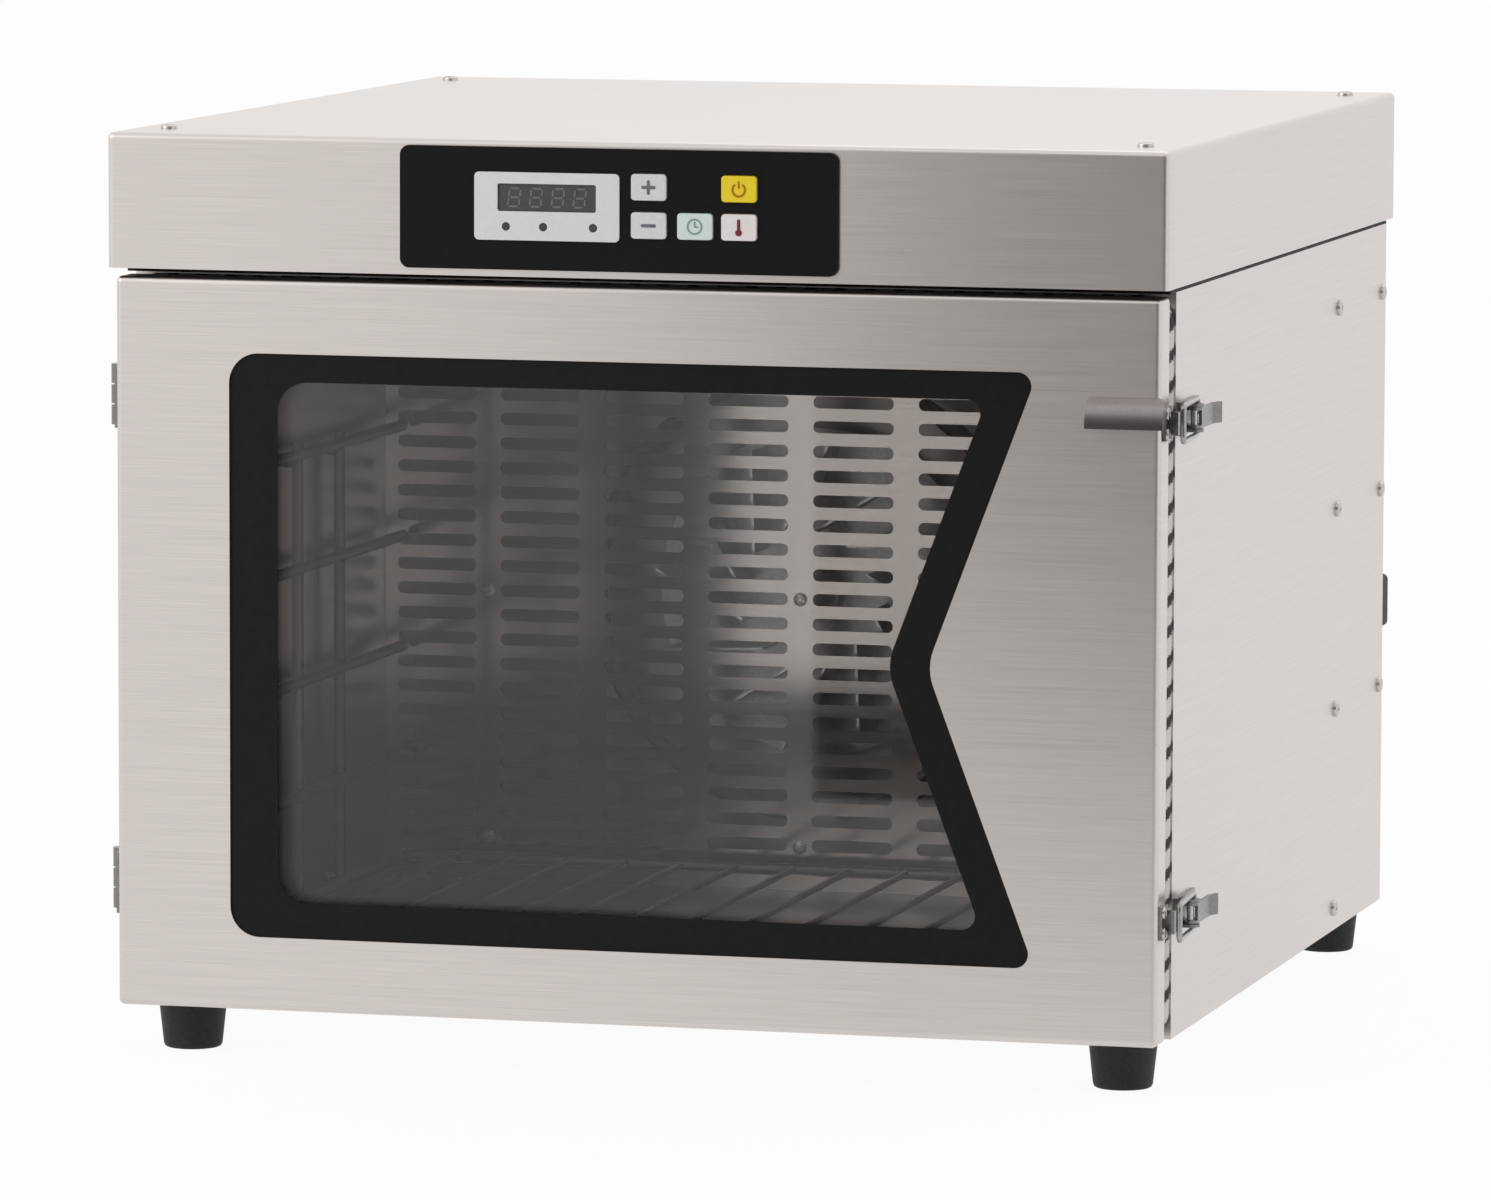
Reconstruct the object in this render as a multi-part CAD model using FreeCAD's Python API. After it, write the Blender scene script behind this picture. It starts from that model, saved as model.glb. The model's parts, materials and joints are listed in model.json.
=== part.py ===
"""Benchtop reflow oven with a glazed side-hung door, draw latches and a control header.

Millimetres, +Z up, the front faces -Y, origin on the floor under the middle of the header.
"""
import FreeCAD
import Part
import math
import os

from FreeCAD import Vector

os.makedirs("parts", exist_ok=True)

# Header and body
header_width = 460.0
header_depth = 480.0
header_height = 57.5
header_overhang = 3.0
header_gap = 2.5
body_height = 313.0
sheet = 1.2
bend_radius = 2.5
fit_gap = 0.2
pan_flange = 15.0
deck_flange = 22.0
deck_setback = 18.0
deck_inset = 2.0
post_radius = 5.0
header_vents = 9
header_vent_pitch = 29.0
header_vent_height = 22.0
header_vent_drop = 13.0

# Feet and rear spacers
foot_height = 22.0
foot_top_radius = 15.0
foot_bottom_radius = 12.5
foot_inset_side = 22.0
foot_inset_front = 7.5
foot_inset_rear = 16.0
foot_stud_radius = 2.5
foot_stud_length = 8.0
spacer_reach = 12.0
spacer_width = 16.0
spacer_height = 24.0
spacer_inset = 8.0
spacer_drop = 18.0
spacer_sink = 6.0

# Door and its window
door_setback = 1.5
door_thickness = 15.0
joint_gap = 13.0
door_clearance = 1.0
window_left = 176.5
window_right = 174.8
window_notch = 128.0
window_margin = 31.5
window_corner = 13.0
window_tip_corner = 6.0
notch_corner = 22.0
band_left = 21.0
band_top = 12.0
band_bottom = 15.0
band_right = 17.5
band_thickness = 0.4
glass_thickness = 4.0
glass_margin = 9.0
inner_glass_margin = 5.0
glazing_width = 8.0
gasket_width = 11.0
gasket_inset = 0.3
gasket_clearance = 0.3
gasket_corner = 9.0
pull_length = 33.0
pull_height = 12.5
pull_reach = 8.5
pull_overhang = 2.5
pull_rise = 4.75
pull_round = 0.58
pull_shoulder = 0.87

# Chamber and what fills the walls
side_insulation = 29.0
floor_insulation = 18.0
roof_insulation = 28.0
rear_insulation = 27.0
chamber_depth = 256.0
plenum_depth = 45.0
slot_length = 37.0
slot_width = 5.5
slot_pitch_x = 48.5
slot_pitch_z = 11.1
slot_round = 0.95
rear_vent_rows = 7
rear_vent_pitch = 22.0

# Fan, heater and sensor
shaft_radius = 4.0
running_clearance = 0.05
impeller_radius = 74.0
impeller_depth = 28.0
impeller_gap = 6.0
blade_count = 12
blade_start = 26.0
blade_end = 72.0
blade_lean_deg = 28.0
hub_radius = 12.0
motor_radius = 33.0
motor_length = 62.0
motor_flange = 84.0
motor_flange_thickness = 3.0
motor_bearing_depth = 40.0
heater_ring_radius = 100.0
heater_tube_radius = 4.0
heater_gap_deg = 24.0
heater_bend = 9.0
terminal_reach = 16.0
sensor_radius = 1.5
sensor_reach = 30.0
sensor_boss_radius = 4.5
pass_clearance = 0.6

# Rack and its rails
rail_rod_radius = 2.5
rail_standoff = 6.0
rail_runner_step = 4.5
rail_levels = 5
rail_pitch = 50.0
rail_first = 6.0
rail_tail = 4.0
rail_front = 25.0
rail_back_gap = 6.0
rail_post_margin = 82.0
rack_clearance = 1.2
rack_wire_radius = 1.5
rack_front_gap = 21.0
rack_wires = 13
rack_lift = 0.3
rack_back_gap = 4.0
rack_corner = 8.0

# Control fascia, display and keys
fascia_width = 190.0
fascia_height = 51.5
fascia_thickness = 1.5
fascia_corner = 4.0
fascia_shift = -5.0
bezel_width = 63.0
bezel_height = 28.5
bezel_proud = 1.0
bezel_corner = 2.0
bezel_shift = -30.6
bezel_rise = 1.0
display_width = 42.5
display_height = 11.2
display_rise = 4.7
lamp_offsets = (-17.7, -1.5, 20.2)
lamp_drop = 7.5
lamp_radius = 1.5
key_width = 15.2
key_height = 11.0
key_corner = 1.5
key_proud = 1.4
key_travel = 1.0
key_flange = 1.0
key_flange_margin = 0.7
key_side_gap = 0.35
key_columns = {"left": 13.7, "middle": 33.7, "right": 52.7}
key_rows = {"lower": -6.0, "upper": 10.0}
key_places = {
    "plus_key": ("left", "upper"),
    "minus_key": ("left", "lower"),
    "timer_key": ("middle", "lower"),
    "heat_key": ("right", "lower"),
    "start_key": ("right", "upper"),
}
board_gap = 9.0
board_thickness = 1.6
board_margin = 12.0
switch_size = 6.0
power_board_length = 150.0
power_board_width = 100.0
board_standoff = 8.0
power_blocks = ((28.0, 24.0, 20.0), (18.0, 15.0, 16.0), (18.0, 15.0, 16.0), (34.0, 34.0, 30.0))
inlet_width = 48.0
inlet_height = 28.0
inlet_flange = 3.0
inlet_depth = 26.0
inlet_socket_width = 24.0
inlet_socket_height = 16.0
inlet_socket_depth = 17.0
inlet_pin_size = 2.0
inlet_pin_length = 13.0
inlet_pin_spacing = 7.0
inlet_corner = 3.0

# Hinges and latches
hardware_offset = 104.0
hinge_height = 26.0
hinge_offset = 5.0
knuckle_radius = 4.0
knuckle_gap = 0.4
leaf_thickness = 1.5
leaf_start = 5.5
leaf_length = 13.0
leaf_screw_edge = 3.0
pin_radius = 1.5
seat_clearance = 0.02
base_length = 36.0
base_height = 14.0
base_setback = 3.0
latch_pivot_along = 10.0
latch_pivot_out = 5.2
ear_radius = 4.0
ear_outer = 5.9
ear_thickness = 1.2
lever_half = 4.4
lever_wall = 1.3
lever_length = 25.0
lever_round = 3.2
lever_cheek_length = 9.5
lever_lip = 6.0
lever_lip_deg = 22.0
loop_pivot = 6.5
loop_wire_radius = 1.25
loop_half = 7.5
keeper_along = 6.0
keeper_length = 12.0
keeper_hook_height = 5.5
keeper_hook_half = 4.8
keeper_lip = 1.2
keeper_reach = 3.6
loop_lift = 0.8

# Screws
screw_radius = 2.0
screw_head_radius = 3.6
screw_head_height = 2.0
screw_length = 8.0
small_screw_radius = 1.2
small_head_radius = 2.5
small_head_height = 1.3
hole_clearance = 0.3
head_rounding = 0.45
side_screw_levels = 4
side_screw_margin = 9.0
top_screw_inset_x = 17.0
top_screw_inset_y = 32.0

# Places worked out from the sizes above
header_half = header_width / 2
body_half = header_half - header_overhang
header_front = -header_depth / 2
header_rear = header_depth / 2
door_front = header_front + door_setback
door_back = door_front + door_thickness
body_front = door_back + joint_gap
body_rear = header_rear - header_overhang
base_z = foot_height
pan_top = base_z + sheet
body_top = base_z + body_height
cover_bottom = body_top + header_gap
cover_top = cover_bottom + header_height
door_bottom = base_z
door_top = body_top - door_clearance
door_mid = (door_bottom + door_top) / 2
hardware_levels = {"upper": door_mid + hardware_offset, "lower": door_mid - hardware_offset}
chamber_half = body_half - 3 * sheet - side_insulation
floor_z = pan_top + floor_insulation + sheet
roof_z = body_top - roof_insulation - sheet
fan_z = (floor_z + roof_z) / 2
air_panel_y = body_front + chamber_depth
rail_length = chamber_depth - rail_front - rail_back_gap
rack_depth = rail_length - rack_front_gap - rack_back_gap
plenum_y = air_panel_y + sheet
liner_back = plenum_y + plenum_depth
bulkhead_y = liner_back + sheet + rear_insulation
rear_inside = bulkhead_y + sheet
hinge_x = -(body_half + hinge_offset)
hinge_y = door_back + joint_gap / 2
latch_pivot_y = body_front + base_setback + latch_pivot_along
latch_pivot_x = body_half + latch_pivot_out
loop_pivot_y = latch_pivot_y + loop_pivot
keeper_y = door_back - keeper_along
fascia_front = header_front - fascia_thickness
fascia_z = cover_bottom + header_height / 2
board_y = header_front + sheet + board_gap
board_left = fascia_shift + bezel_shift - bezel_width / 2 - board_margin
board_right = fascia_shift + key_columns["right"] + key_width / 2 + board_margin
board_half = fascia_height / 2 - fascia_corner


def box(x0, x1, y0, y1, z0, z1):
    """Solid block between two corners."""
    return Part.makeBox(x1 - x0, y1 - y0, z1 - z0, Vector(x0, y0, z0))


def rod(start, end, radius):
    """Round bar from one point to another."""
    a, b = Vector(*start), Vector(*end)
    return Part.makeCylinder(radius, (b - a).Length, a, b - a)


def join(shapes):
    """One solid from touching or crossing solids."""
    return shapes[0].multiFuse(list(shapes[1:])).removeSplitter()


def export(node, shape):
    """Write one node; a list becomes a group of separate solids."""
    solid = Part.makeCompound(shape) if isinstance(shape, list) else shape
    solid.exportStep("parts/" + node + ".step")


def rounded_wire(points, radii):
    """Closed outline through corner points, each corner eased by its radius with an arc."""
    count = len(points)
    starts, mids, ends = [], [], []
    for i, corner in enumerate(points):
        back = (points[i - 1] - corner).normalize()
        ahead = (points[(i + 1) % count] - corner).normalize()
        half = back.getAngle(ahead) / 2
        reach = radii[i] / math.tan(half)
        bisector = (back + ahead).normalize()
        centre = corner + bisector * (radii[i] / math.sin(half))
        starts.append(corner + back * reach)
        ends.append(corner + ahead * reach)
        mids.append(centre - bisector * radii[i])
    edges = []
    for i in range(count):
        edges.append(Part.Arc(starts[i], mids[i], ends[i]).toShape())
        edges.append(Part.LineSegment(ends[i], starts[(i + 1) % count]).toShape())
    return Part.Wire(edges)


def bent_rod(line, radius):
    """Round bar along a smooth line."""
    first = line.OrderedEdges[0]
    start, run = first.valueAt(first.FirstParameter), first.tangentAt(first.FirstParameter)
    return line.makePipeShell([Part.Wire(Part.makeCircle(radius, start, run))], True, False)


def rectangle_wire(x0, x1, z0, z1, y, radius):
    """Upright rounded rectangle facing the front."""
    corners = [Vector(x0, y, z0), Vector(x1, y, z0), Vector(x1, y, z1), Vector(x0, y, z1)]
    return rounded_wire(corners, [radius] * len(corners))


def plate(outline, holes, thickness):
    """Flat plate that grows towards the rear from a front outline with holes."""
    face = Part.Face(outline)
    for hole in holes:
        face = face.cut(Part.Face(hole))
    return face.extrude(Vector(0, thickness, 0))


def pan_head(place, outward, radius, head_radius, head_height, length):
    """Pan head screw with its head seated at a place and its shank going in."""
    head = Part.makeCylinder(head_radius, head_height, Vector(*place), Vector(*outward))
    rim = [e for e in head.Edges if e.Length > head_radius and len(e.Vertexes) == 1]
    top = max(rim, key=lambda e: e.CenterOfMass.dot(Vector(*outward)))
    head = head.makeFillet(head_height * head_rounding, [top])
    shank = Part.makeCylinder(radius, length, Vector(*place), -Vector(*outward))
    return head.fuse(shank)


def case_screw(place, outward):
    """Screw of the casing size."""
    return pan_head(place, outward, screw_radius, screw_head_radius, screw_head_height, screw_length)


def small_screw(place, outward):
    """Screw of the hinge and latch size."""
    return pan_head(
        place, outward, small_screw_radius, small_head_radius, small_head_height, small_screw_length
    )


def drill(shape, places, direction, radius, depth):
    """Round holes bored both ways from each place."""
    reach = Vector(*direction) * depth
    tools = [Part.makeCylinder(radius, 2 * depth, Vector(*p) - reach, reach) for p in places]
    return shape.cut(Part.makeCompound(tools))


def bend(shape, pick):
    """Round the edges of a folded sheet that the test picks out."""
    return shape.makeFillet(bend_radius, [e for e in shape.Edges if pick(e)])


def along(edge, axis):
    """True for a straight edge that lies along an axis, given as 0, 1 or 2."""
    size = edge.BoundBox
    spans = (size.XLength, size.YLength, size.ZLength)
    return all(spans[i] < 1e-6 for i in range(3) if i != axis)


# Screw places shared by the panels and the screws
side_step = (body_height - 2 * side_screw_margin - sheet - deck_flange) / (side_screw_levels - 1)
side_screw_zs = [pan_top + side_screw_margin + i * side_step for i in range(side_screw_levels)]
side_screw_y = rear_inside + pan_flange / 2
rear_flange_y = body_rear - sheet - pan_flange / 2
rear_edge_zs = side_screw_zs[1:]
top_screw_x = header_half - top_screw_inset_x
top_screw_ys = (header_front + top_screw_inset_y, header_rear - top_screw_inset_y)
foot_x = body_half - foot_inset_side
foot_ys = (body_front + foot_inset_front, body_rear - foot_inset_rear)
foot_places = [(side * foot_x, y, base_z) for side in (-1, 1) for y in foot_ys]
screw_hole = screw_radius + hole_clearance
foot_hole = foot_stud_radius + hole_clearance
lamp_hole = lamp_radius + hole_clearance
small_screw_length = leaf_thickness + 2 * sheet - fit_gap
small_hole = small_screw_radius + hole_clearance
panel_screw_spots = [(side_screw_y, z) for z in side_screw_zs]
panel_screw_spots += [(rear_flange_y, z) for z in rear_edge_zs]
leaf_screw_reach = leaf_start + leaf_length / 2
leaf_screw_rise = hinge_height / 2 - small_head_radius - leaf_screw_edge
base_screw_ys = (
    latch_pivot_y + ear_radius + small_head_radius + lever_cheek_length,
    body_front + base_setback + base_length - small_head_radius,
)
keeper_screw_y = keeper_y - keeper_length / 2 + small_head_radius
keeper_screw_rise = base_height / 2 - small_head_radius - fit_gap


def hinge_screw_places(sign):
    """Screws of the leaves on the body (sign +1) or on the door (sign -1)."""
    y = hinge_y + sign * leaf_screw_reach
    rises = (-leaf_screw_rise, leaf_screw_rise)
    return [(-body_half, y, z + r) for z in hardware_levels.values() for r in rises]


def base_screw_places():
    """Screws of both latch bases on the right side panel."""
    return [(body_half, y, z) for z in hardware_levels.values() for y in base_screw_ys]


def keeper_screw_places():
    """Screws of both keepers on the right side of the door."""
    rises = (-keeper_screw_rise, keeper_screw_rise)
    return [(body_half, keeper_screw_y, z + r) for z in hardware_levels.values() for r in rises]


def base_pan():
    """Floor tray with upturned flanges that the panels stand around."""
    floor = box(-body_half, body_half, body_front, body_rear, base_z, pan_top)
    inner = body_half - sheet
    top = pan_top + pan_flange
    front, rear = body_front + sheet, body_rear - sheet
    rim = box(-inner, inner, front, rear, pan_top, top)
    rim = rim.cut(box(-inner + sheet, inner - sheet, front + sheet, rear - sheet, pan_top, top))
    pan = floor.fuse(rim).removeSplitter()
    spots = [(side * inner, side_screw_y, side_screw_zs[0]) for side in (-1, 1)]
    pan = drill(pan, spots, (1, 0, 0), screw_hole, 2 * sheet)
    return drill(pan, foot_places, (0, 0, 1), foot_hole, foot_stud_length)


def side_panel(side):
    """Flat side sheet between the base pan and the header deck, drilled for its screws and fittings."""
    x0, x1 = sorted((side * body_half, side * (body_half - sheet)))
    panel = box(x0, x1, body_front, body_rear, pan_top, body_top)
    spots = [(side * body_half, y, z) for y, z in panel_screw_spots]
    panel = drill(panel, spots, (1, 0, 0), screw_hole, 2 * sheet)
    fixings = base_screw_places() if side > 0 else hinge_screw_places(1)
    return drill(panel, fixings, (1, 0, 0), small_hole, 2 * sheet)


def rear_panel():
    """Rear sheet with side flanges, louvre slots for the motor space and the inlet cut-out."""
    half = body_half - sheet
    y0, y1 = body_rear - sheet, body_rear
    panel = box(-half, half, y0, y1, pan_top, body_top)
    flange_bottom = pan_top + pan_flange
    for side in (-1, 1):
        x0, x1 = sorted((side * half, side * (half - sheet)))
        panel = panel.fuse(box(x0, x1, y0 - pan_flange, y0, flange_bottom, body_top))
    edge_spots = [(side * half, rear_flange_y, z) for side in (-1, 1) for z in rear_edge_zs]
    panel = drill(panel.removeSplitter(), edge_spots, (1, 0, 0), screw_hole, 2 * sheet)
    slots = []
    for row in range(rear_vent_rows):
        z = fan_z + (row - (rear_vent_rows - 1) / 2) * rear_vent_pitch
        for x in (-slot_pitch_x, 0, slot_pitch_x):
            wire = rectangle_wire(
                x - slot_length / 2, x + slot_length / 2, z - slot_width / 2, z + slot_width / 2,
                y0, slot_round * slot_width / 2,
            )
            slots.append(Part.Face(wire).extrude(Vector(0, sheet, 0)))
    panel = panel.cut(Part.makeCompound(slots))
    w, h = inlet_width / 2 - inlet_flange, inlet_height / 2 - inlet_flange
    gap = fit_gap
    opening = box(inlet_x - w - gap, inlet_x + w + gap, y0, y1, inlet_z - h - gap, inlet_z + h + gap)
    panel = panel.cut(opening)
    return drill(panel, spacer_screw_places(), (0, 1, 0), screw_hole, 2 * sheet)


inlet_x = -(body_half - inlet_width)
inlet_z = pan_top + pan_flange + inlet_height


def spacer_screw_places():
    """One screw through each rear spacer."""
    x = body_half - spacer_inset
    return [(side * x, body_rear, door_mid - spacer_drop) for side in (-1, 1)]


def front_frame():
    """Sheet ring that the gasket lies on, open at the chamber mouth."""
    half = body_half - sheet
    ring = box(-half, half, body_front, body_front + sheet, pan_top, body_top)
    return ring.cut(box(-chamber_half, chamber_half, body_front, body_front + sheet, floor_z, roof_z))


def chamber_liner():
    """Open-fronted stainless box that the air moves in."""
    x, z0, z1 = chamber_half, floor_z, roof_z
    front = body_front + sheet
    shell = box(-x - sheet, x + sheet, front, liner_back + sheet, z0 - sheet, z1 + sheet)
    shell = shell.cut(box(-x, x, front, liner_back, z0, z1))
    return pierce(shell)


def pierce(shape):
    """Holes for the fan shaft, the heater legs and the sensor through a rear wall."""
    reach = header_depth
    shape = drill(shape, [(0, liner_back, fan_z)], (0, 1, 0), shaft_radius + pass_clearance, reach)
    legs = [(x, liner_back, z) for x, z in heater_leg_spots()]
    shape = drill(shape, legs, (0, 1, 0), heater_tube_radius + pass_clearance, reach)
    sensor = [(sensor_x, liner_back, sensor_z)]
    return drill(shape, sensor, (0, 1, 0), sensor_radius + hole_clearance, reach)


def heater_ends():
    """Both ends of the heater's ring, left then right, each with the direction it runs out in."""
    ends = []
    for side in (-1, 1):
        turn = math.radians(-90 + side * heater_gap_deg / 2)
        out = Vector(math.cos(turn), 0, math.sin(turn))
        tip = Vector(0, plenum_y + plenum_depth / 2, fan_z) + out * heater_ring_radius
        ends.append((tip, Vector(side * out.z, 0, -side * out.x)))
    return ends


def heater_leg_spots():
    """Where the heater's two legs run back, in X and Z."""
    legs = [tip + ahead * heater_bend for tip, ahead in heater_ends()]
    return [(leg.x, leg.z) for leg in legs]


def bulkhead():
    """Sheet behind the rear insulation that carries the motor, with flanges for the side screws."""
    half = body_half - 2 * sheet
    wall = box(-half, half, bulkhead_y, rear_inside, pan_top, body_top)
    for side in (-1, 1):
        x0, x1 = sorted((side * half, side * (half - sheet)))
        wall = wall.fuse(box(x0, x1, rear_inside, rear_inside + pan_flange, pan_top, body_top))
    spots = [(side * half, side_screw_y, z) for side in (-1, 1) for z in side_screw_zs]
    wall = drill(wall.removeSplitter(), spots, (1, 0, 0), screw_hole, 2 * sheet)
    return pierce(wall)


def insulation():
    """Five wool boards packed between the liner and the casing."""
    outer, inner = body_half - 2 * sheet, chamber_half + sheet
    front = body_front + 2 * sheet
    boards = []
    for side in (-1, 1):
        x0, x1 = sorted((side * outer, side * inner))
        board = box(x0, x1, front, bulkhead_y, pan_top, body_top)
        boards.append(drill(board, foot_places, (0, 0, 1), foot_hole, 2 * foot_stud_length))
    boards.append(box(-inner, inner, front, bulkhead_y, pan_top, floor_z - sheet))
    boards.append(box(-inner, inner, front, bulkhead_y, roof_z + sheet, body_top))
    rear = box(-inner, inner, liner_back + sheet, bulkhead_y, floor_z - sheet, roof_z + sheet)
    boards.append(pierce(rear))
    return boards


# Slot grid of the air panel, centred on the chamber
slot_columns = int((2 * chamber_half - slot_pitch_x + slot_length) // slot_pitch_x) + 1
slot_rows = int((roof_z - floor_z - slot_width) // slot_pitch_z)
slot_xs = [(i - (slot_columns - 1) / 2) * slot_pitch_x for i in range(slot_columns)]
slot_zs = [fan_z + (i - (slot_rows - 1) / 2) * slot_pitch_z for i in range(slot_rows)]
sensor_x = slot_xs[-2]
sensor_z = slot_zs[-4]


def air_panel():
    """Slotted sheet in front of the fan that spreads the moving air."""
    x, y = chamber_half - fit_gap, air_panel_y
    z0, z1 = floor_z + fit_gap, roof_z - fit_gap
    outline = rectangle_wire(-x, x, z0, z1, y, bend_radius)
    l, w = slot_length / 2, slot_width / 2
    slots = [
        rectangle_wire(sx - l, sx + l, sz - w, sz + w, y, slot_round * w)
        for sx in slot_xs
        for sz in slot_zs
    ]
    face = Part.Face([outline] + slots)
    face.validate()
    return face.extrude(Vector(0, sheet, 0))


def rack_rail(side):
    """Rod ladder on one chamber wall: two posts on stand-offs with a runner at each level."""
    wall = side * chamber_half
    post_x = side * (chamber_half - rail_standoff)
    run_x = side * (chamber_half - rail_standoff - rail_runner_step)
    y0 = body_front + rail_front
    y1 = y0 + rail_length
    levels = [floor_z + rail_first + i * rail_pitch for i in range(rail_levels)]
    bottom, top = levels[0] - rail_tail, levels[-1] + rail_tail
    bars = [rod((run_x, y0, z), (run_x, y1, z), rail_rod_radius) for z in levels]
    for y in (y0 + rail_post_margin, y1 - rail_post_margin):
        bars.append(rod((post_x, y, bottom), (post_x, y, top), rail_rod_radius))
        for z in (bottom + rail_pitch / 6, top - rail_pitch / 6):
            bars.append(rod((wall, y, z), (post_x, y, z), rail_rod_radius))
    return join(bars)


def wire_rack():
    """Welded wire shelf that lies on the lowest runners and slides forward."""
    edge = chamber_half - rail_standoff - rail_rod_radius - rack_clearance - rail_rod_radius
    z = floor_z + rail_first + 2 * rail_rod_radius + rack_lift
    back = body_front + rail_front + rail_length - rack_back_gap
    front = back - rack_depth
    corners = [Vector(-edge, front, z), Vector(edge, front, z),
               Vector(edge, back, z), Vector(-edge, back, z)]
    bars = [bent_rod(rounded_wire(corners, [rack_corner] * 4), rail_rod_radius)]
    step = 2 * edge / (rack_wires + 1)
    for i in range(rack_wires):
        x = -edge + (i + 1) * step
        bars.append(rod((x, front, z), (x, back, z), rack_wire_radius))
    return join(bars)


def heater_ring():
    """Tubular heater bent round the fan, with both legs bent back through the rear wall."""
    y, end = plenum_y + plenum_depth / 2, rear_inside + terminal_reach
    top = Vector(0, y, fan_z + heater_ring_radius)
    back = Vector(0, heater_bend, 0)
    half = math.sqrt(0.5)
    left, right = heater_ends()
    edges = [Part.Arc(left[0], top, right[0]).toShape()]
    for tip, ahead in (left, right):
        foot = tip + ahead * heater_bend + back
        middle = tip + back + ahead * heater_bend * half - back * half
        edges.append(Part.Arc(tip, middle, foot).toShape())
        edges.append(Part.LineSegment(foot, Vector(foot.x, end, foot.z)).toShape())
    return bent_rod(Part.Wire(Part.__sortEdges__(edges)), heater_tube_radius)


def thermocouple():
    """Sheathed sensor from the motor space through a slot of the air panel into the chamber."""
    tip = air_panel_y - sensor_reach
    wall = (sensor_x, rear_inside, sensor_z)
    sheath = rod((sensor_x, tip, sensor_z), wall, sensor_radius)
    boss = rod(wall, (sensor_x, rear_inside + terminal_reach, sensor_z), sensor_boss_radius)
    return sheath.fuse(boss)


def fan_impeller():
    """Back plate with a hub and straight blades."""
    back = plenum_y + impeller_gap + impeller_depth
    disc = rod((0, back - sheet, fan_z), (0, back, fan_z), impeller_radius)
    hub = rod((0, back - impeller_depth / 2, fan_z), (0, back + impeller_gap / 2, fan_z), hub_radius)
    bars = [disc, hub]
    for i in range(blade_count):
        blade = box(blade_start, blade_end, back - impeller_depth, back - sheet / 2,
                    fan_z - sheet / 2, fan_z + sheet / 2)
        blade.rotate(Vector((blade_start + blade_end) / 2, back, fan_z), Vector(0, 1, 0), blade_lean_deg)
        blade.rotate(Vector(0, back, fan_z), Vector(0, 1, 0), i * 360 / blade_count)
        bars.append(blade)
    wheel = join(bars)
    return drill(wheel, [(0, back, fan_z)], (0, 1, 0), shaft_radius + seat_clearance, impeller_depth)


def fan_shaft():
    """Shaft from the impeller hub into the motor."""
    tip = plenum_y + impeller_gap + impeller_depth / 2
    end = rear_inside + motor_flange_thickness + motor_bearing_depth
    return rod((0, tip, fan_z), (0, end, fan_z), shaft_radius)


def fan_motor():
    """Motor can on a square flange behind the bulkhead, bored for the shaft."""
    half = motor_flange / 2
    face = rear_inside + motor_flange_thickness
    flange = box(-half, half, rear_inside, face, fan_z - half, fan_z + half)
    can = rod((0, face, fan_z), (0, face + motor_length, fan_z), motor_radius)
    rim = max((e for e in can.Edges if len(e.Vertexes) == 1), key=lambda e: e.CenterOfMass.y)
    motor = flange.fuse(can.makeFillet(bend_radius * 2, [rim])).removeSplitter()
    bore = rod((0, rear_inside, fan_z), (0, face + motor_bearing_depth + pass_clearance, fan_z),
               shaft_radius + running_clearance)
    return motor.cut(bore)


def header_deck():
    """Top sheet of the body with an inset upstand round it and four posts under the cover screws."""
    half, rear = body_half - deck_inset, body_rear - deck_inset
    front = header_front + deck_setback
    top = body_top + sheet
    floor = box(-body_half, body_half, front, body_rear, body_top, top)
    upstand = box(-half, half, front, rear, top, top + deck_flange)
    upstand = bend(upstand, lambda e: along(e, 2))
    well = box(-half + sheet, half - sheet, front + sheet, rear - sheet, top, top + deck_flange)
    upstand = upstand.cut(well)
    posts = [rod((s * top_screw_x, y, top), (s * top_screw_x, y, cover_top - sheet), post_radius)
             for s in (-1, 1) for y in top_screw_ys]
    deck = join([floor, upstand] + posts)
    return drill(deck, top_screw_places(), (0, 0, 1), screw_hole, screw_length)


def top_screw_places():
    """Four screws near the corners of the top cover."""
    return [(s * top_screw_x, y, cover_top) for s in (-1, 1) for y in top_screw_ys]


def top_cover():
    """Folded stainless hood, open below, cut out behind the fascia and slotted at the rear."""
    hood = box(-header_half, header_half, header_front, header_rear, cover_bottom, cover_top)
    hood = bend(hood, lambda e: along(e, 2) or e.CenterOfMass.z > cover_top - 1e-3)
    hollow = box(-header_half + sheet, header_half - sheet, header_front + sheet, header_rear - sheet,
                 cover_bottom, cover_top - sheet)
    corners = [e for e in hollow.Edges if along(e, 2)]
    hood = hood.cut(hollow.makeFillet(bend_radius - sheet, corners))
    cut = rectangle_wire(
        board_left, board_right, fascia_z - board_half, fascia_z + board_half, header_front, fascia_corner,
    )
    hood = hood.cut(Part.Face(cut).extrude(Vector(0, sheet, 0)))
    vents = []
    for i in range(header_vents):
        x = (i - (header_vents - 1) / 2) * header_vent_pitch
        vents.append(box(x - slot_width / 2, x + slot_width / 2, header_rear - sheet, header_rear,
                         cover_top - header_vent_drop - header_vent_height, cover_top - header_vent_drop))
    hood = hood.cut(Part.makeCompound(vents))
    return drill(hood, top_screw_places(), (0, 0, 1), screw_hole, 2 * sheet)


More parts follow.
